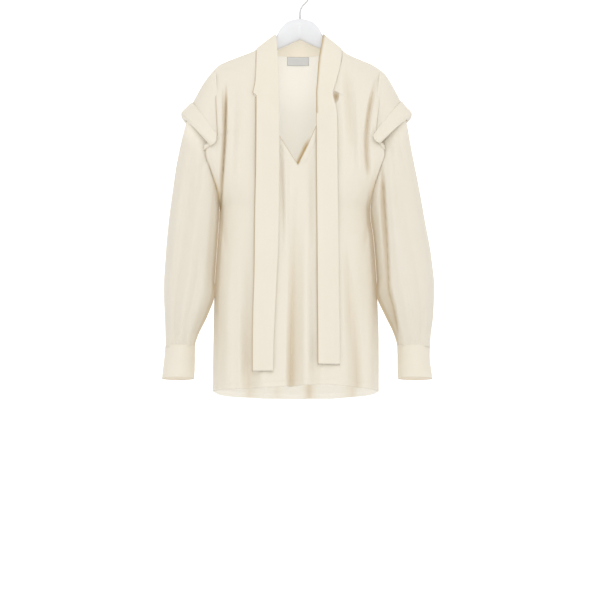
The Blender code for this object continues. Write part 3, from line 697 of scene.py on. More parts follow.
def frontHalf(side):
    shares = rowShares(front["coarseness"])
    rows = len(shares) - 1
    column = "left" if side < 0 else "right"
    outerTop = form[column + "Top"]
    innerTop = cornerX(side)
    outerTopZ, innerTopZ = shoulderZ(outerTop), shoulderZ(cornerX(-1))
    cornerShift = innerTopZ - shoulderZ(innerTop)

    def place(u, v):
        # u runs from the side seam to the neckline
        share = shares[rows - round(v * rows)]
        top = shoulderZ(outerTop + (innerTop - outerTop) * u) + cornerShift * u**8
        low = hemLine["front"](side * (1 - u))
        z = top + (low - top) * share
        outer = frontEdge[column](outerTopZ + (form["sideHemZ"] - outerTopZ) * share)
        inner = neckline[column](innerTopZ + (hemLine["front"](0.0) - innerTopZ) * share)
        x = outer + (inner - outer) * u ** front["crowding"]
        deep, paintedDarkening = foldsAt(frontFolds, x, z)
        y = plainFrontY(x, z) + deep + wander(x, 0.0, z) + hemGroove(z - low)
        # painted shadow under the ties' left edges, and painted shade along the left armhole and
        # the V's edges
        if tieEnds[column] < z < form["notchZ"]:
            paintedDarkening += shadeLine("tie", x - leftEdgeOf[column](z) + tieOverhang)
        if side < 0 and z > front["armholeLowZ"]:
            paintedDarkening += shadeLine("armhole", x - outer)
        if z > form["neckLowZ"]:
            fromEdge = front["slant"] * abs(x - inner)
            stitched = hump((fromEdge - front["turnWidth"]) / front["turnHalfStitch"])
            curl = front[column + "Curl"] * math.exp(-((fromEdge / front["curlWidth"]) ** 2))
            curl *= ease(z, form["neckLowZ"], form["neckLowZ"] + front["curlFade"])
            inTheV = ease(-z, *front["turnStart"])
            y += inTheV * (front["turnDepth"] * stitched - curl)
            paintedDarkening += inTheV * shadeLine("neckline", fromEdge)
        # painted light and painted shade in the cleft beside the sleeves
        lit = ease(-z, *front["cleftTop"]) * (1 - ease(-z, *front["cleftLow"]))
        lit *= shadeLine("cleft", x - outer)
        return x, y, z, paintedDarkening + lit, lit

    return shapedGrid(front["columns"], rows, place, flip=side > 0, flat=front["halfFlat"])


def joinMeshes(first, second):
    data = bpy.data.meshes.new("joining")
    second.to_mesh(data)
    second.free()
    first.from_mesh(data)
    bpy.data.meshes.remove(data)
    bmesh.ops.remove_doubles(first, verts=first.verts, dist=0.0001)
    return first


clothPiece("front", joinMeshes(frontHalf(-1), frontHalf(1)), front, ["hanger"])
print("front made")

# Back

back = {
    "thickness": 0.0008,
    "columns": 120,
    "coarseness": 1.25,
    "flat": (0.43, 0.735),
    "area": 0.292,
}
# painted warm shade on its inside, where it shows through the notch and low in the V
notchShade = {"x": 0.0765, "z": -0.2270, "halfWidth": 0.013, "halfHeight": 0.020, "strength": 0.8}
neckShade = {
    "rise": 0.018,  # the camera looks up and sees the back this much higher
    "topZ": -0.325,
    "fullZ": -0.350,
    "halfWidth": 0.0120,
    "strength": 1.1,
}


def shadeInside(x, z):
    acrossNotch = (x - notchShade["x"]) / notchShade["halfWidth"]
    upNotch = (z - notchShade["z"]) / notchShade["halfHeight"]
    shade = notchShade["strength"] * hump(math.hypot(acrossNotch, upNotch))
    seenZ = z - neckShade["rise"]
    if form["neckLowZ"] < seenZ < neckShade["topZ"]:
        beside = (neckline["right"](seenZ) - x) / neckShade["halfWidth"]
        fade = 1 - ease(seenZ, neckShade["fullZ"], neckShade["topZ"])
        shade += neckShade["strength"] * hump(beside) * fade
    return shade


def backMesh():
    shares = rowShares(back["coarseness"])
    rows = len(shares) - 1
    left, right = form["leftTop"], form["rightTop"]
    leftTopZ, rightTopZ = shoulderZ(left), shoulderZ(right)

    def place(u, v):
        # the columns lie closer together at both sides
        part = 0.5 * u + 0.25 * (1 - math.cos(math.pi * u))
        share = shares[rows - round(v * rows)]
        top = backTopZ(left + (right - left) * part)
        low = hemLine["back"](2 * part - 1)
        z = top + (low - top) * share
        xLeft = backEdge["left"](leftTopZ + (form["sideHemZ"] - leftTopZ) * share)
        xRight = backEdge["right"](rightTopZ + (form["sideHemZ"] - rightTopZ) * share)
        x = xLeft + (xRight - xLeft) * part
        deep, paintedDarkening = foldsAt(backFolds, x, z)
        y = plainBackY(x, z) - deep - wander(x, 1.0, z) - hemGroove(z - low)
        return x, y, z, paintedDarkening, 0.0, shadeInside(x, z)

    return shapedGrid(back["columns"], rows, place, flip=True, flat=back["flat"])


clothPiece("back", backMesh(), back, ["hanger"])
print("back made")

# Sleeves and cuffs: rings that cross from their outer to their inner end

ringColumns = "outerX outerZ innerX innerZ halfDepth middleY"
sleeves = {
    "thickness": 0.0008,
    "columns": 150,
    "rows": 150,
    "flat": (0.40, 0.56),
    "area": 0.150,
    "mouthShade": 0.0,
    "insideShade": 0.0,
    "gatherDepth": 0.0016,
    "boxy": 0.35,  # how much fuller than an ellipse the rings are, from the first to the fourth
    "boxyRings": (0.5, 3.5),
    "pointed": 1.25,  # power at the inner end, which comes to a point
    "pointedFrom": (0.80, 0.97),
    "leavesBody": (8.0, 9.6),
    "gap": 0.0004,
    # down to the eighth ring the inner ends lie against the body's side edges
    "left": (ringColumns, (
        (-0.185, -0.196, -0.1705, -0.47, 0.033, -0.036),
        (-0.1995, -0.218, -0.169, -0.478, 0.035, -0.036),
        (-0.216, -0.244, -0.1672, -0.486, 0.042, -0.0365),
        (-0.232, -0.276, -0.1655, -0.495, 0.048, -0.036),
        (-0.242, -0.305, -0.1648, -0.508, 0.0505, -0.036),
        (-0.2505, -0.34, -0.1648, -0.525, 0.0515, -0.035),
        (-0.2592, -0.383, -0.166, -0.552, 0.052, -0.033),
        (-0.2668, -0.436, -0.168, -0.587, 0.054, -0.031),
        (-0.2755, -0.504, -0.1718, -0.624, 0.058, -0.029),
        (-0.2815, -0.574, -0.1792, -0.66, 0.06, -0.027),
        (-0.285, -0.64, -0.1948, -0.702, 0.059, -0.025),
        (-0.2835, -0.696, -0.211, -0.735, 0.052, -0.024),
        (-0.2815, -0.743, -0.2184, -0.756, 0.042, -0.023),
        (-0.2812, -0.766, -0.2196, -0.766, 0.035, -0.023),
    )),
    "right": (ringColumns, (
        (0.177, -0.1965, 0.149, -0.47, 0.033, -0.034),
        (0.189, -0.217, 0.1478, -0.478, 0.035, -0.034),
        (0.2035, -0.243, 0.146, -0.486, 0.042, -0.0345),
        (0.2165, -0.272, 0.144, -0.496, 0.048, -0.034),
        (0.225, -0.298, 0.1432, -0.509, 0.0505, -0.0345),
        (0.231, -0.332, 0.1436, -0.527, 0.0515, -0.0335),
        (0.2394, -0.377, 0.1446, -0.553, 0.052, -0.032),
        (0.25, -0.431, 0.1472, -0.586, 0.054, -0.03),
        (0.262, -0.499, 0.1515, -0.624, 0.058, -0.028),
        (0.2752, -0.575, 0.16, -0.658, 0.06, -0.0265),
        (0.2812, -0.64, 0.18, -0.703, 0.059, -0.025),
        (0.2793, -0.696, 0.1938, -0.731, 0.052, -0.024),
        (0.2735, -0.743, 0.2016, -0.754, 0.042, -0.023),
        (0.2722, -0.766, 0.2037, -0.766, 0.035, -0.023),
    )),
}
mainFoldDepth = 0.012  # a sleeve's fold deeper than this is its main one
# face -1 is the front; across runs from the outer end (0) to the inner end (1), bent on its
# way down; first and last are ring numbers; lopsided widens the side towards the inner end.
# The columns are face, across, acrossLow, bend, first, last, depth, halfWidth, lopsided,
# crisp.
leftSleeveFolds = (
    (-1, 0.36, 0.3, 0.0, 4.0, 13.4, 0.004, 0.15, 0.2, 0.0),
    (-1, 0.62, 0.66, 0.0, 6.0, 13.4, 0.003, 0.12, 0.0, 0.1),
    (-1, 0.16, 0.12, 0.0, 3.5, 11.5, -0.003, 0.1, 0.0, 0.0),
    (-1, 0.8, 0.86, 0.0, 1.0, 9.5, 0.003, 0.09, 0.3, 0.2),
    (-1, 0.5, 0.44, 0.0, 1.2, 6.5, 0.0025, 0.08, 0.0, 0.2),
    (-1, 0.28, 0.24, 0.0, 2.2, 6.0, 0.0018, 0.07, 0.0, 0.1),
    (1, 0.55, 0.52, 0.0, 3.0, 12.8, 0.009, 0.15, 0.2, 0.25),
    (1, 0.3, 0.26, 0.0, 2.0, 9.0, 0.005, 0.1, 0.0, 0.2),
    (1, 0.78, 0.74, 0.0, 4.0, 13.2, 0.005, 0.09, 0.0, 0.25),
)
rightSleeveFolds = (
    (-1, 0.62, 0.98, -0.1, 1.4, 12.4, 0.0145, 0.12, 0.6, 0.4),
    (-1, 0.44, 0.66, 0.0, 3.0, 12.6, -0.004, 0.13, 0.0, 0.0),
    (-1, 0.36, 0.3, 0.0, 5.0, 13.4, 0.0028, 0.14, 0.0, 0.0),
    (-1, 0.4, 0.36, 0.0, 1.2, 6.2, 0.002, 0.08, 0.0, 0.2),
    (-1, 0.22, 0.18, 0.0, 2.2, 6.8, 0.0016, 0.07, 0.0, 0.1),
    (1, 0.5, 0.52, 0.0, 3.0, 12.8, 0.009, 0.15, -0.2, 0.25),
    (1, 0.26, 0.3, 0.0, 2.0, 9.4, 0.0045, 0.1, 0.0, 0.2),
    (1, 0.76, 0.72, 0.0, 5.0, 13.2, 0.0055, 0.09, 0.0, 0.25),
)
gathers = {
    "count": 17,
    "rings": 1.6,
    "unevenness": 1.7,
    "unevenWaves": 5,
}
# painted shade and painted light on the sleeves' fronts, by the range across in which they come in
sleeveShades = {
    "innerEnd": (0.60, 0.93, 0.995),
    "outerEnd": (0.30, 0.0, 0.02),
    "cleftLight": (0.60, 0.955, 0.995),
    "strip": (0.09, -0.1, 0.3),  # beyond the main fold, painted shade where the body shades it
    "line": (0.26, 0.22),  # along the main fold, and its half width
}
# painted light under the turned-up bands, softening their shadow: the band's lower edge is at z for
# x, and rises outward
bandShade = {
    "left": {"x": 0.1945, "z": -0.3400, "slope": 0.94, "lit": 0.38},
    "right": {"x": 0.1762, "z": -0.3350, "slope": 0.87, "lit": 0.14},
    "reach": 0.050,
}


def sleeveFrontShades(side, x, z, across):
    # painted shade at the inner end and at the left sleeve's outer edge, painted light under the
    # band and in the cleft by the body
    strength, start, end = sleeveShades["innerEnd"]
    paintedDarkening = strength * ease(across, start, end)
    if side == "left":
        strength, start, end = sleeveShades["outerEnd"]
        paintedDarkening += strength * (1 - ease(across, start, end))
    band = bandShade[side]
    below = band["z"] + band["slope"] * (abs(x) - band["x"]) - z
    strength, start, end = sleeveShades["cleftLight"]
    lit = band["lit"] * (1 - ease(below, 0.0, bandShade["reach"]))
    return paintedDarkening, max(lit, strength * ease(across, start, end))


def ringPoint(cloth, row, turn, folds, position, last):
    angle = 2 * math.pi * turn
    across = 0.5 - 0.5 * math.cos(angle)
    width = abs(math.sin(angle))
    face = -1 if math.sin(angle) > 0 else 1
    x = row["outerX"] + (row["innerX"] - row["outerX"]) * across
    z = row["outerZ"] + (row["innerZ"] - row["outerZ"]) * across
    # painted shade at a cuff's mouth
    paintedDarkening = cloth["mouthShade"] * ease(position, last - 0.6, last)
    power, lean, lit = 1.0, 0.0, 0.0
    if folds:
        power -= cloth["boxy"] * ease(position, *cloth["boxyRings"])
        power += (cloth["pointed"] - power) * ease(across, *cloth["pointedFrom"])
        side = "left" if x < 0 else "right"
        touching = (1 - ease(position, *cloth["leavesBody"])) * across**3
        bodyX = frontEdge[side](row["innerZ"])
        bodyX += math.copysign(cloth["gap"], bodyX)
        x += (bodyX - row["innerX"]) * touching
        lean = (armY(bodyX, row["innerZ"]) - row["middleY"]) * touching
        if face < 0:
            paintedDarkening, lit = sleeveFrontShades(side, x, z, across)
    depth = row["halfDepth"] * width**power
    for onFace, at, atLow, bend, first, final, deep, halfWidth, lopsided, crisp in folds:
        if onFace != face or not first < position < final:
            continue
        along = (position - first) / (final - first)
        offset = foldOffset(across, at, atLow, along, bend, halfWidth, lopsided)
        fade = ease(position, first, first + 3) * (1 - ease(position, final - 2, final))
        # painted shade along the main fold and on the strip beyond it
        if deep > mainFoldDepth:
            strength, start, end = sleeveShades["strip"]
            paintedDarkening += fade * strength * ease(offset, start, end)
            strength, lineWidth = sleeveShades["line"]
            paintedDarkening += fade * strength * hump(offset / lineWidth)
        if abs(offset) < 1:
            room = min(1.0, width * 1.6)
            depth -= deep * fade * room * foldProfile(offset, crisp)
            paintedDarkening += fade * paintValleyShade("sleeve", deep, offset, crisp)
    waves = 2 * math.pi * gathers["count"] * turn
    waves += gathers["unevenness"] * math.sin(gathers["unevenWaves"] * angle)
    gathered = cloth["gatherDepth"] * ease(position, last - gathers["rings"], last)
    depth -= gathered * width * (0.5 + 0.5 * math.sin(waves))
    y = row["middleY"] + face * depth + lean
    y += wander(x, y, z, uneven["sleeves"]) * (1 - across**6)
    return x, y, z, paintedDarkening, lit, cloth["insideShade"]


def tubeMesh(cloth, table, folds, mirrored):
    curves = columnCurves(table, byRow=True)
    last = len(table[1]) - 1
    rowValues = {}

    def place(u, v):
        position = (1 - v) * last
        if position not in rowValues:
            rowValues[position] = valuesAt(curves, position)
        return ringPoint(cloth, rowValues[position], u % 1.0, folds, position, last)

    return shapedGrid(
        cloth["columns"], cloth["rows"], place, flip=mirrored, weld=True, flat=cloth["flat"],
    )


for side, folds in (("left", leftSleeveFolds), ("right", rightSleeveFolds)):
    tube = tubeMesh(sleeves, sleeves[side], folds, side == "right")
    clothPiece("sleeve_" + side, tube, sleeves, ["front", "back"])
print("sleeves made")

cuffs = {
    "thickness": 0.0018,
    "columns": 110,
    "rows": 36,
    "flat": (0.222, 0.068),
    "area": 0.015,
    "middleY": -0.0230,
    # painted shade at its mouth and on its inside
    "mouthShade": 0.55,
    "insideShade": 0.22,
    "gatherDepth": 0.0,
}
# height, half depth, then the outer and inner ends of the left and of the right cuff
cuffRings = (
    (-0.7622, 0.0366, (-0.2816, -0.2192), (0.2726, 0.2033)),
    (-0.7650, 0.0372, (-0.2822, -0.2190), (0.2722, 0.2031)),
    (-0.7850, 0.0380, (-0.2838, -0.2192), (0.2718, 0.2036)),
    (-0.8150, 0.0376, (-0.2872, -0.2200), (0.2750, 0.2038)),
    (-0.8290, 0.0370, (-0.2887, -0.2211), (0.2774, 0.2044)),
    (-0.8308, 0.0366, (-0.2884, -0.2216), (0.2771, 0.2049)),
)
for number, side in enumerate(("left", "right")):
    rings = []
    for z, halfDepth, *ends in cuffRings:
        outer, inner = ends[number]
        rings.append((outer, z, inner, z, halfDepth, cuffs["middleY"]))
    tube = tubeMesh(cuffs, (ringColumns, rings), (), side == "right")
    clothPiece("cuff_" + side, tube, cuffs, ["sleeve_" + side])
print("cuffs made")

# Over-sleeve caps and their turned-up bands: arches from the front end over the top to the back

archColumns = "outerX outerZ endX endZ halfDepth"
armholeRings = 1.4  # over these rings, the painted light in the armhole's cleft fades
archMiddleY = {"left": -0.0380, "right": -0.0360}
caps = {
    "thickness": 0.0008,
    "columns": 110,
    "rows": 44,
    "flat": (0.31, 0.115),
    "area": 0.0165,
    "reach": 1.0,  # quarter turns that the arch runs past its top, each way
    "edgeLight": 0.22,  # painted light, a glow in the cleft at the armhole
    "left": (archColumns, (
        (-0.177, -0.1845, -0.1665, -0.329, 0.0385),
        (-0.18, -0.184, -0.17, -0.33, 0.0398),
        (-0.1828, -0.1838, -0.1718, -0.33, 0.041),
        (-0.195, -0.1975, -0.1752, -0.327, 0.044),
        (-0.21, -0.2205, -0.1785, -0.322, 0.0475),
        (-0.2255, -0.251, -0.1825, -0.316, 0.0505),
        (-0.2392, -0.285, -0.193, -0.335, 0.052),
    )),
    "right": (archColumns, (
        (0.168, -0.1862, 0.153, -0.329, 0.0385),
        (0.1715, -0.1857, 0.1562, -0.33, 0.0398),
        (0.175, -0.1855, 0.1585, -0.33, 0.041),
        (0.1865, -0.2005, 0.1603, -0.327, 0.044),
        (0.199, -0.2225, 0.1612, -0.322, 0.0475),
        (0.212, -0.2485, 0.1625, -0.317, 0.0505),
        (0.2245, -0.283, 0.174, -0.332, 0.052),
    )),
}
capBands = {
    "thickness": 0.0018,
    "columns": 110,
    "rows": 40,
    "flat": (0.23, 0.058),
    "area": 0.0115,
    "reach": 1.12,
    "edgeLight": 0.0,
    "left": (archColumns, (
        (-0.2275, -0.2492, -0.1822, -0.3125, 0.0512),
        (-0.2375, -0.2592, -0.184, -0.3215, 0.0545),
        (-0.2478, -0.2695, -0.1868, -0.329, 0.0568),
        (-0.2497, -0.2748, -0.189, -0.3328, 0.0578),
        (-0.248, -0.283, -0.1915, -0.3362, 0.0575),
        (-0.2395, -0.288, -0.1945, -0.34, 0.0535),
    )),
    "right": (archColumns, (
        (0.214, -0.2467, 0.162, -0.3135, 0.0512),
        (0.2247, -0.26, 0.1655, -0.3225, 0.0545),
        (0.2338, -0.2696, 0.1692, -0.3272, 0.0568),
        (0.2354, -0.2746, 0.1715, -0.33, 0.0578),
        (0.2338, -0.2815, 0.1738, -0.3325, 0.0575),
        (0.225, -0.2865, 0.1762, -0.335, 0.0535),
    )),
}


def archMesh(cloth, side):
    curves = columnCurves(cloth[side], byRow=True)
    last = len(cloth[side][1]) - 1

    def place(u, v):
        position = (1 - v) * last
        row = valuesAt(curves, position)
        angle = math.pi * (0.5 - u) * cloth["reach"]
        out = math.cos(angle)
        x = row["endX"] + (row["outerX"] - row["endX"]) * out
        z = row["endZ"] + (row["outerZ"] - row["endZ"]) * out
        y = archMiddleY[side] - row["halfDepth"] * math.sin(angle)
        shift = wander(x, y, z, uneven["caps"])
        # painted light in the armhole's cleft
        lit = cloth["edgeLight"] * (1 - ease(position, 0.0, armholeRings))
        return x + shift, y + shift, z, 0.0, lit

    return shapedGrid(
        cloth["columns"], cloth["rows"], place, flip=side == "left", flat=cloth["flat"],
    )


# where the front end of a band turns under the arm
turnedEnds = {
    "columns": 16,
    "rows": 8,
    "flat": (0.034, 0.012),
    "standsOff": 0.0036,
    "swell": 0.0030,
    "tuck": 0.004,
    "shade": 0.9,  # painted shade, strongest at its outer end
    "shadeTo": 0.45,
    "lowShade": 0.25,
    "left": ((-0.1738, -0.3290, -0.3350), (-0.1880, -0.3375, -0.3490), (-0.2004, -0.3470, -0.3585)),
    "right": ((0.1568, -0.3180, -0.3290), (0.1660, -0.3330, -0.3450), (0.1768, -0.3465, -0.3580)),
}


def turnedEnd(side):
    path = turnedEnds[side]
    curves = columnCurves(("x top low", path), byRow=True)

    def place(u, v):
        x, top, low = (curves[name](2 * u) for name in ("x", "top", "low"))
        z = low + (top - low) * v
        y = plainFrontY(x, z) - turnedEnds["standsOff"] + turnedEnds["tuck"] * u
        y -= turnedEnds["swell"] * math.sin(math.pi * v)
        # painted shade in the band's curl, deepest at its outer end and low down
        paintedDarkening = turnedEnds["shade"] * (1 - ease(u, 0.0, turnedEnds["shadeTo"]))
        return x, y, z, paintedDarkening + turnedEnds["lowShade"] * (1 - v) ** 2

    return shapedGrid(
        turnedEnds["columns"], turnedEnds["rows"], place, flip=side == "left",
        flat=turnedEnds["flat"],
    )


for kind, cloth, under in (("cap_", caps, "sleeve_"), ("cap_band_", capBands, "cap_")):
    for side in ("left", "right"):
        arch = archMesh(cloth, side)
        if cloth is capBands:
            arch = joinMeshes(arch, turnedEnd(side))
        clothPiece(kind + side, arch, cloth, [under + side])
print("caps made")

# Scarf collar, in one length: left tie, round the neck, right tie

scarf = {
    "halfThickness": 0.0010,
    "alongStep": 0.0036,
    "samples": 1800,  # for measuring its length
    "around": 44,
    "flat": (0.050, 1.60),
    "turnedFlat": (1.60, 0.11),  # along it, and round both faces
    "area": 0.0745,
    "nearby": 0.02,  # how far off its normals are measured
    "lift": 0.0031,  # from the front's plain form to the tie's outer face
    "endPinch": 0.0012,
    "onFrontZ": -0.2330,  # below this it lies on the front
    "shoulderSeamZ": -0.1340,
    "seamHalfWidth": 0.0025,
    "hemHeight": 0.006,
    "hemHalfWidth": 0.002,
    "grooveDepth": 0.0004,
    # painted shade along the scarf's left edges, on its front
    "edgeShade": 0.9,
    "edgeShadeWidth": 0.035,  # as a share of its width
    "wideShadeWidth": 0.14,  # beside the right edge of the V
    "wideShadeZ": -0.275,
    # painted light, a glow on the band's inner face by the neck
    "neckLight": 0.75,
    "neckLightFrom": (0.000, 0.014),
    "frontY": -0.012,
}
# side -1 is sewn to the front, 1 to the back and 0 over the shoulder's crest; the columns are
# side, seamX, seamZ, edgeX, edgeY, edgeZ, forward
neckBand = (
    (-1, -0.0994, -0.2325, -0.0435, -0.0538, -0.2325, 0.0031),
    (-1, -0.0945, -0.205, -0.044, -0.046, -0.202, 0.0022),
    (-1, -0.093, -0.172, -0.046, -0.036, -0.16, 0.001),
    (-1, -0.0922, -0.148, -0.0485, -0.027, -0.12, 0.0004),
    (-1, -0.092, -0.1375, -0.05, -0.02, -0.104, 0.0004),
    (0, -0.0916, -0.1331, -0.05, -0.0105, -0.1, 0.0),
    (1, -0.0905, -0.1368, -0.0495, 0.001, -0.1035, 0.0),
    (1, -0.075, -0.1405, -0.043, 0.011, -0.104, 0.0012),
    (1, -0.045, -0.1434, -0.027, 0.0215, -0.1025, 0.0016),
    (1, 0.0, -0.1452, 0.0, 0.026, -0.102, 0.0016),
    (1, 0.044, -0.1434, 0.0265, 0.0215, -0.1025, 0.0016),
    (1, 0.072, -0.1405, 0.0415, 0.011, -0.104, 0.0012),
    (1, 0.0867, -0.1368, 0.0475, 0.001, -0.1035, 0.0),
    (0, 0.0876, -0.1331, 0.048, -0.01, -0.1, 0.0),
    (-1, 0.088, -0.1375, 0.048, -0.02, -0.104, 0.0004),
    (-1, 0.0882, -0.148, 0.0455, -0.027, -0.12, 0.0004),
    (-1, 0.084, -0.172, 0.039, -0.035, -0.16, 0.001),
    (-1, 0.076, -0.205, 0.036, -0.0445, -0.202, 0.0022),
    (-1, 0.0692, -0.2325, 0.034, -0.0519, -0.2325, 0.0031),
)


def tieStation(z, outer, inner, outerLift, innerLift):
    outerY = plainFrontY(outer, z) - scarf["lift"] - outerLift
    innerY = plainFrontY(inner, z) - scarf["lift"] - innerLift
    return outer, outerY, z, inner, innerY, z


def bandStation(side, seamX, seamZ, edgeX, edgeY, edgeZ, forward):
    if side < 0:
        seamY = plainFrontY(seamX, seamZ) - forward
    elif side > 0:
        seamY = plainBackY(seamX, seamZ) + forward
    else:
        seamY = armY(seamX, seamZ)
    return seamX, seamY, seamZ, edgeX, edgeY, edgeZ


def scarfMesh():
    stations = [tieStation(*row) for row in leftTie[1]]
    stations += [bandStation(*row) for row in neckBand]
    stations += [tieStation(*row) for row in reversed(rightTie[1])]
    curves = columnCurves(("outX outY outZ inX inY inZ", stations), byRow=True)
    lastStation = len(stations) - 1

    def edgesAt(position):
        at = valuesAt(curves, position)
        outer = Vector((at["outX"], at["outY"], at["outZ"]))
        return outer, Vector((at["inX"], at["inY"], at["inZ"]))

    # even steps along the middle of the scarf
    samples = scarf["samples"]
    lengths, before = [0.0], None
    for sample in range(samples + 1):
        outer, inner = edgesAt(lastStation * sample / samples)
        middle = (outer + inner) / 2
        if before is not None:
            lengths.append(lengths[-1] + (middle - before).length)
        before = middle
    positionOf = smoothCurve(lengths, [lastStation * i / samples for i in range(samples + 1)])
    columns = round(lengths[-1] / scarf["alongStep"])
    built = {}

    def across(position, share):
        outer, inner = edgesAt(min(max(position, 0.0), lastStation))
        share = min(max(share, 0.0), 1.0)
        spot = outer.lerp(inner, share)
        if spot.z < scarf["onFrontZ"]:
            lift = outer.y - plainFrontY(outer.x, outer.z)
            lift += (inner.y - plainFrontY(inner.x, inner.z) - lift) * share
            spot.y = plainFrontY(spot.x, spot.z) + lift
        return spot

    def spotAndNormal(position, share):
        near = scarf["nearby"]
        ahead = across(position + near, share) - across(position - near, share)
        aside = across(position, share + near) - across(position, share - near)
        return across(position, share), ahead.cross(aside).normalized()

    def place(u, v):
        angle = 2 * math.pi * (v % 1.0)
        share = 0.5 - 0.5 * math.cos(angle)
        face = 1 if math.sin(angle) > 0 else -1
        length = lengths[-1] * u
        key = (round(u, 6), round(share, 6))
        if key not in built:
            built[key] = spotAndNormal(positionOf(length), share)
        spot, normal = built[key]
        fromEnd = min(length, lengths[-1] - length)
        swell = (1 - abs(2 * share - 1) ** 6) ** 0.5
        half = scarf["halfThickness"] * swell * ease(fromEnd, 0.0, scarf["endPinch"])
        offset = -scarf["halfThickness"] + face * half
        if face < 0 and spot.x < 0:
            fromSeam = (spot.z - scarf["shoulderSeamZ"]) / scarf["seamHalfWidth"]
            offset += scarf["grooveDepth"] * hump(fromSeam)
        fromHem = (fromEnd - scarf["hemHeight"]) / scarf["hemHalfWidth"]
        offset -= scarf["grooveDepth"] * hump(fromHem) * face
        point = spot + normal * offset
        # painted shade along the left edges on the front, and painted light on the band's inner
        # face by the neck
        fromLeftEdge = share if spot.x < 0 else 1 - share
        isWide = spot.x > 0 and spot.z > scarf["wideShadeZ"]
        shadeWidth = scarf["wideShadeWidth" if isWide else "edgeShadeWidth"]
        isInFront = spot.y < scarf["frontY"]
        paintedDarkening = scarf["edgeShade"] * hump(fromLeftEdge / shadeWidth) if isInFront else 0.0
        lit = scarf["neckLight"] * ease(spot.y, *scarf["neckLightFrom"]) if face > 0 else 0.0
        return point.x, point.y, point.z, paintedDarkening, lit

    return shapedGrid(
        columns, scarf["around"], place, flip=True, weld=True, flat=scarf["turnedFlat"]
    )


scarfPiece = addPiece(
    "scarfCollar", scarfMesh(), ivoryCloth, "cloth", "neck_band", "tie_left", "tie_right"
)
print("scarf made")

label = {
    "columns": 36,
    "rows": 14,
    "width": 0.046,
    "height": 0.018,
    "thickness": 0.0006,
    "x": -0.004,
    "topZ": -0.1420,
    "gap": 0.0010,
    # painted shade along the label's edges
    "edgeShade": 0.8,
}


def labelMesh():
    def place(u, v):
        x = label["x"] + label["width"] * (u - 0.5)
        z = label["topZ"] - label["height"] * (1 - v)
        y = backY(x, z) - back["thickness"] - label["gap"] - label["thickness"]
        # painted shade on the label's border
        isEdge = min(u, 1 - u, v, 1 - v) < 0.001
        return x, y, z, label["edgeShade"] if isEdge else 0.0

    flat = (label["width"], label["height"])
    return shapedGrid(label["columns"], label["rows"], place, flat=flat)


neckLabel = addPiece("neckLabel", labelMesh(), labelTape, "label", "neck_label")
giveWall(neckLabel, label["thickness"])
print("label made")

# Hanger and hook

hanger = {
    "sides": 64,
    "rows": 260,
    "first": -0.1700,
    "last": 0.1650,
    "ridge": 0.0015,  # roundness of the fold in the middle of its head
    "setBack": 0.0026,
    "headEnd": 0.046,
    "headLowZ": -0.1095,
    "coveredFrom": (0.044, 0.052),
    "clearance": 0.0036,  # below the cloth
    "clearanceLoss": 0.0010,
    "lossFrom": (0.098, 0.112),
    "armFrom": (0.030, 0.060),
}
hangerArms = columnCurves(("x lowZ halfThick", (
    (-0.17, -0.2, 0.005), (-0.16, -0.203, 0.0072), (-0.092, -0.16, 0.007),
    (-0.046, -0.132, 0.008), (0.0, -0.1095, 0.009), (0.046, -0.132, 0.008),
    (0.086, -0.16, 0.0065), (0.155, -0.2, 0.0072), (0.165, -0.2, 0.005),
)))


def hangerTopZ(x):
    covered = ease(abs(x), *hanger["coveredFrom"])
    clearance = hanger["clearance"] - hanger["clearanceLoss"] * ease(abs(x), *hanger["lossFrom"])
    return shoulderLine["z"](x) - clearance * covered


def hangerLowZ(x):
    if abs(x) > hanger["headEnd"]:
        return hangerArms["lowZ"](x)
    share = abs(x) / hanger["headEnd"]
    armLowZ = hangerArms["lowZ"](hanger["headEnd"])
    return hanger["headLowZ"] + (armLowZ - hanger["headLowZ"]) * share


def hangerMiddleY(x):
    fromRidge = math.hypot(x, hanger["ridge"]) - hanger["ridge"]
    folded = hanger["setBack"] - form["sweep"] * fromRidge
    share = ease(abs(x), *hanger["armFrom"])
    return folded + (armY(x, -0.2) - folded) * share


def hangerMesh():
    def place(u, v):
        x = hanger["first"] + (hanger["last"] - hanger["first"]) * v
        top, low = hangerTopZ(x), hangerLowZ(x)
        thick = hangerArms["halfThick"](x)
        angle = 2 * math.pi * (u % 1.0)
        out, up = math.sin(angle), math.cos(angle)
        roundOut = math.copysign(abs(out) ** 0.45, out)
        roundUp = math.copysign(abs(up) ** 0.8, up)
        y = hangerMiddleY(x) + thick * roundOut
        return x, y, (top + low) / 2 + (top - low) / 2 * roundUp

    mesh = shapedGrid(hanger["sides"], hanger["rows"], place, weld=True)
    bmesh.ops.holes_fill(mesh, edges=[edge for edge in mesh.edges if edge.is_boundary])
    bmesh.ops.recalc_face_normals(mesh, faces=mesh.faces)
    return mesh


addPiece("mouldedHanger", hangerMesh(), hangerPlastic, "hanger", "hanger")

hook = {
    "wireRadius": 0.0019,
    "innerRadius": 0.0166,
    "steps": 60,
    "bend": (-48, 250),  # where its round part starts and how far it runs, in degrees
    "stem": ((0, 0, -0.0795), (0, 0, -0.054), (0.0008, 0, -0.0460), (0.0048, 0, -0.0385)),
}


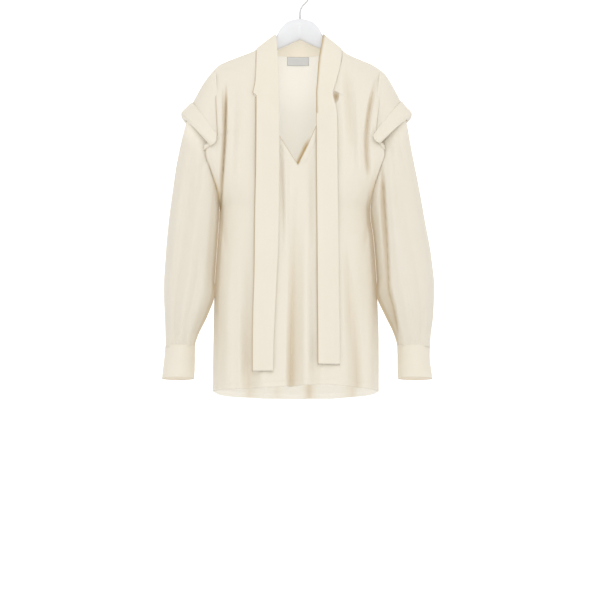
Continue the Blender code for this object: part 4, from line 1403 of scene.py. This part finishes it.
def hookMesh():
    radius = hook["innerRadius"] + hook["wireRadius"]
    middle = Vector((0, 0, -hook["innerRadius"]))
    path = [Vector(spot) for spot in hook["stem"]]
    start, run = hook["bend"]
    for step in range(hook["steps"] + 1):
        angle = math.radians(start + run * step / hook["steps"])
        path.append(middle + radius * Vector((math.cos(angle), 0, math.sin(angle))))
    curve = bpy.data.curves.new("wire", "CURVE")
    curve.dimensions = "3D"
    curve.bevel_depth = hook["wireRadius"]
    curve.bevel_resolution = 6
    curve.use_fill_caps = True
    spline = curve.splines.new("POLY")
    spline.points.add(len(path) - 1)
    for point, spot in zip(spline.points, path):
        point.co = (*spot, 1.0)
    wire = addObject("wire", curve)
    bpy.context.view_layer.update()
    data = bpy.data.meshes.new_from_object(
        wire.evaluated_get(bpy.context.evaluated_depsgraph_get())
    )
    bpy.data.objects.remove(wire)
    mesh = bmesh.new()
    mesh.from_mesh(data)
    bmesh.ops.remove_doubles(mesh, verts=mesh.verts, dist=0.000001)
    bmesh.ops.recalc_face_normals(mesh, faces=mesh.faces)
    return mesh


addPiece("wireHook", hookMesh(), hookWire, "hook", "hanger_hook")
print("hanger made")

# Stage, light and camera

studio = {
    "middle": Vector((0.0, 0.0, -0.663)),
    "distance": 9.0,
    "below": 6.0,  # degrees that the camera looks up
    "pictureWidth": 1.26,  # metres across the picture at the blouse
    "floorZ": -1.80,
    "world": 0.92,
}


def plainFinish(name, grey, glow=0.0):
    finish = Finish(name)
    cloud = finish.noise(finish.place(), 1.5, 2.0)
    darker = 0.985 * grey
    tone = finish.mixColour(cloud, (grey, grey, grey, 1.0), (darker, darker, darker, 1.0))
    return finish.surface({
        "Base Color": tone, "Roughness": 0.9,
        "Emission Color": (1.0, 1.0, 1.0, 1.0), "Emission Strength": glow,
    })


def stagePlane(name, size, spot, turn, finish):
    mesh = bmesh.new()
    bmesh.ops.create_grid(mesh, x_segments=1, y_segments=1, size=size / 2)
    made = addMesh(name, mesh, finish)
    made.location = spot
    made.rotation_euler = turn


def areaLight(name, power, size, spot, aim):
    data = bpy.data.lights.new(name, "AREA")
    data.energy = power
    data.shape = "RECTANGLE"
    data.size, data.size_y = size
    made = addObject(name, data)
    made.location = spot
    made.rotation_euler = (Vector(aim) - Vector(spot)).to_track_quat("-Z", "Y").to_euler()


stagePlane(
    "floor", 24.0, (0, 0, studio["floorZ"]), (0, 0, 0),
    plainFinish("paleFloor", 0.86),
)
stagePlane(
    "backdrop", 16.0, (0, 11.0, 2.0), (math.radians(90), 0, 0),
    plainFinish("whiteBackdrop", 0.90, 0.55),
)
areaLight("keyLight", 16.0, (1.6, 2.2), (0.2, -3.1, 0.4), (0, 0, -0.5))

scene = bpy.context.scene
world = bpy.data.worlds.new("softStudio")
world.use_nodes = True
world.node_tree.nodes["Background"].inputs["Color"].default_value = (1.0, 1.0, 1.0, 1.0)
world.node_tree.nodes["Background"].inputs["Strength"].default_value = studio["world"]
scene.world = world
scene.view_settings.view_transform = "Standard"

cameraData = bpy.data.cameras.new("photoView")
cameraData.sensor_width = 36.0
cameraData.lens = 36.0 * studio["distance"] / studio["pictureWidth"]
camera = addObject("photoView", cameraData)
angle = math.radians(studio["below"])
camera.location = studio["middle"] + studio["distance"] * Vector(
    (0.0, -math.cos(angle), -math.sin(angle))
)
camera.rotation_euler = (math.radians(90) + angle, 0.0, 0.0)
scene.camera = camera
print("studio made")
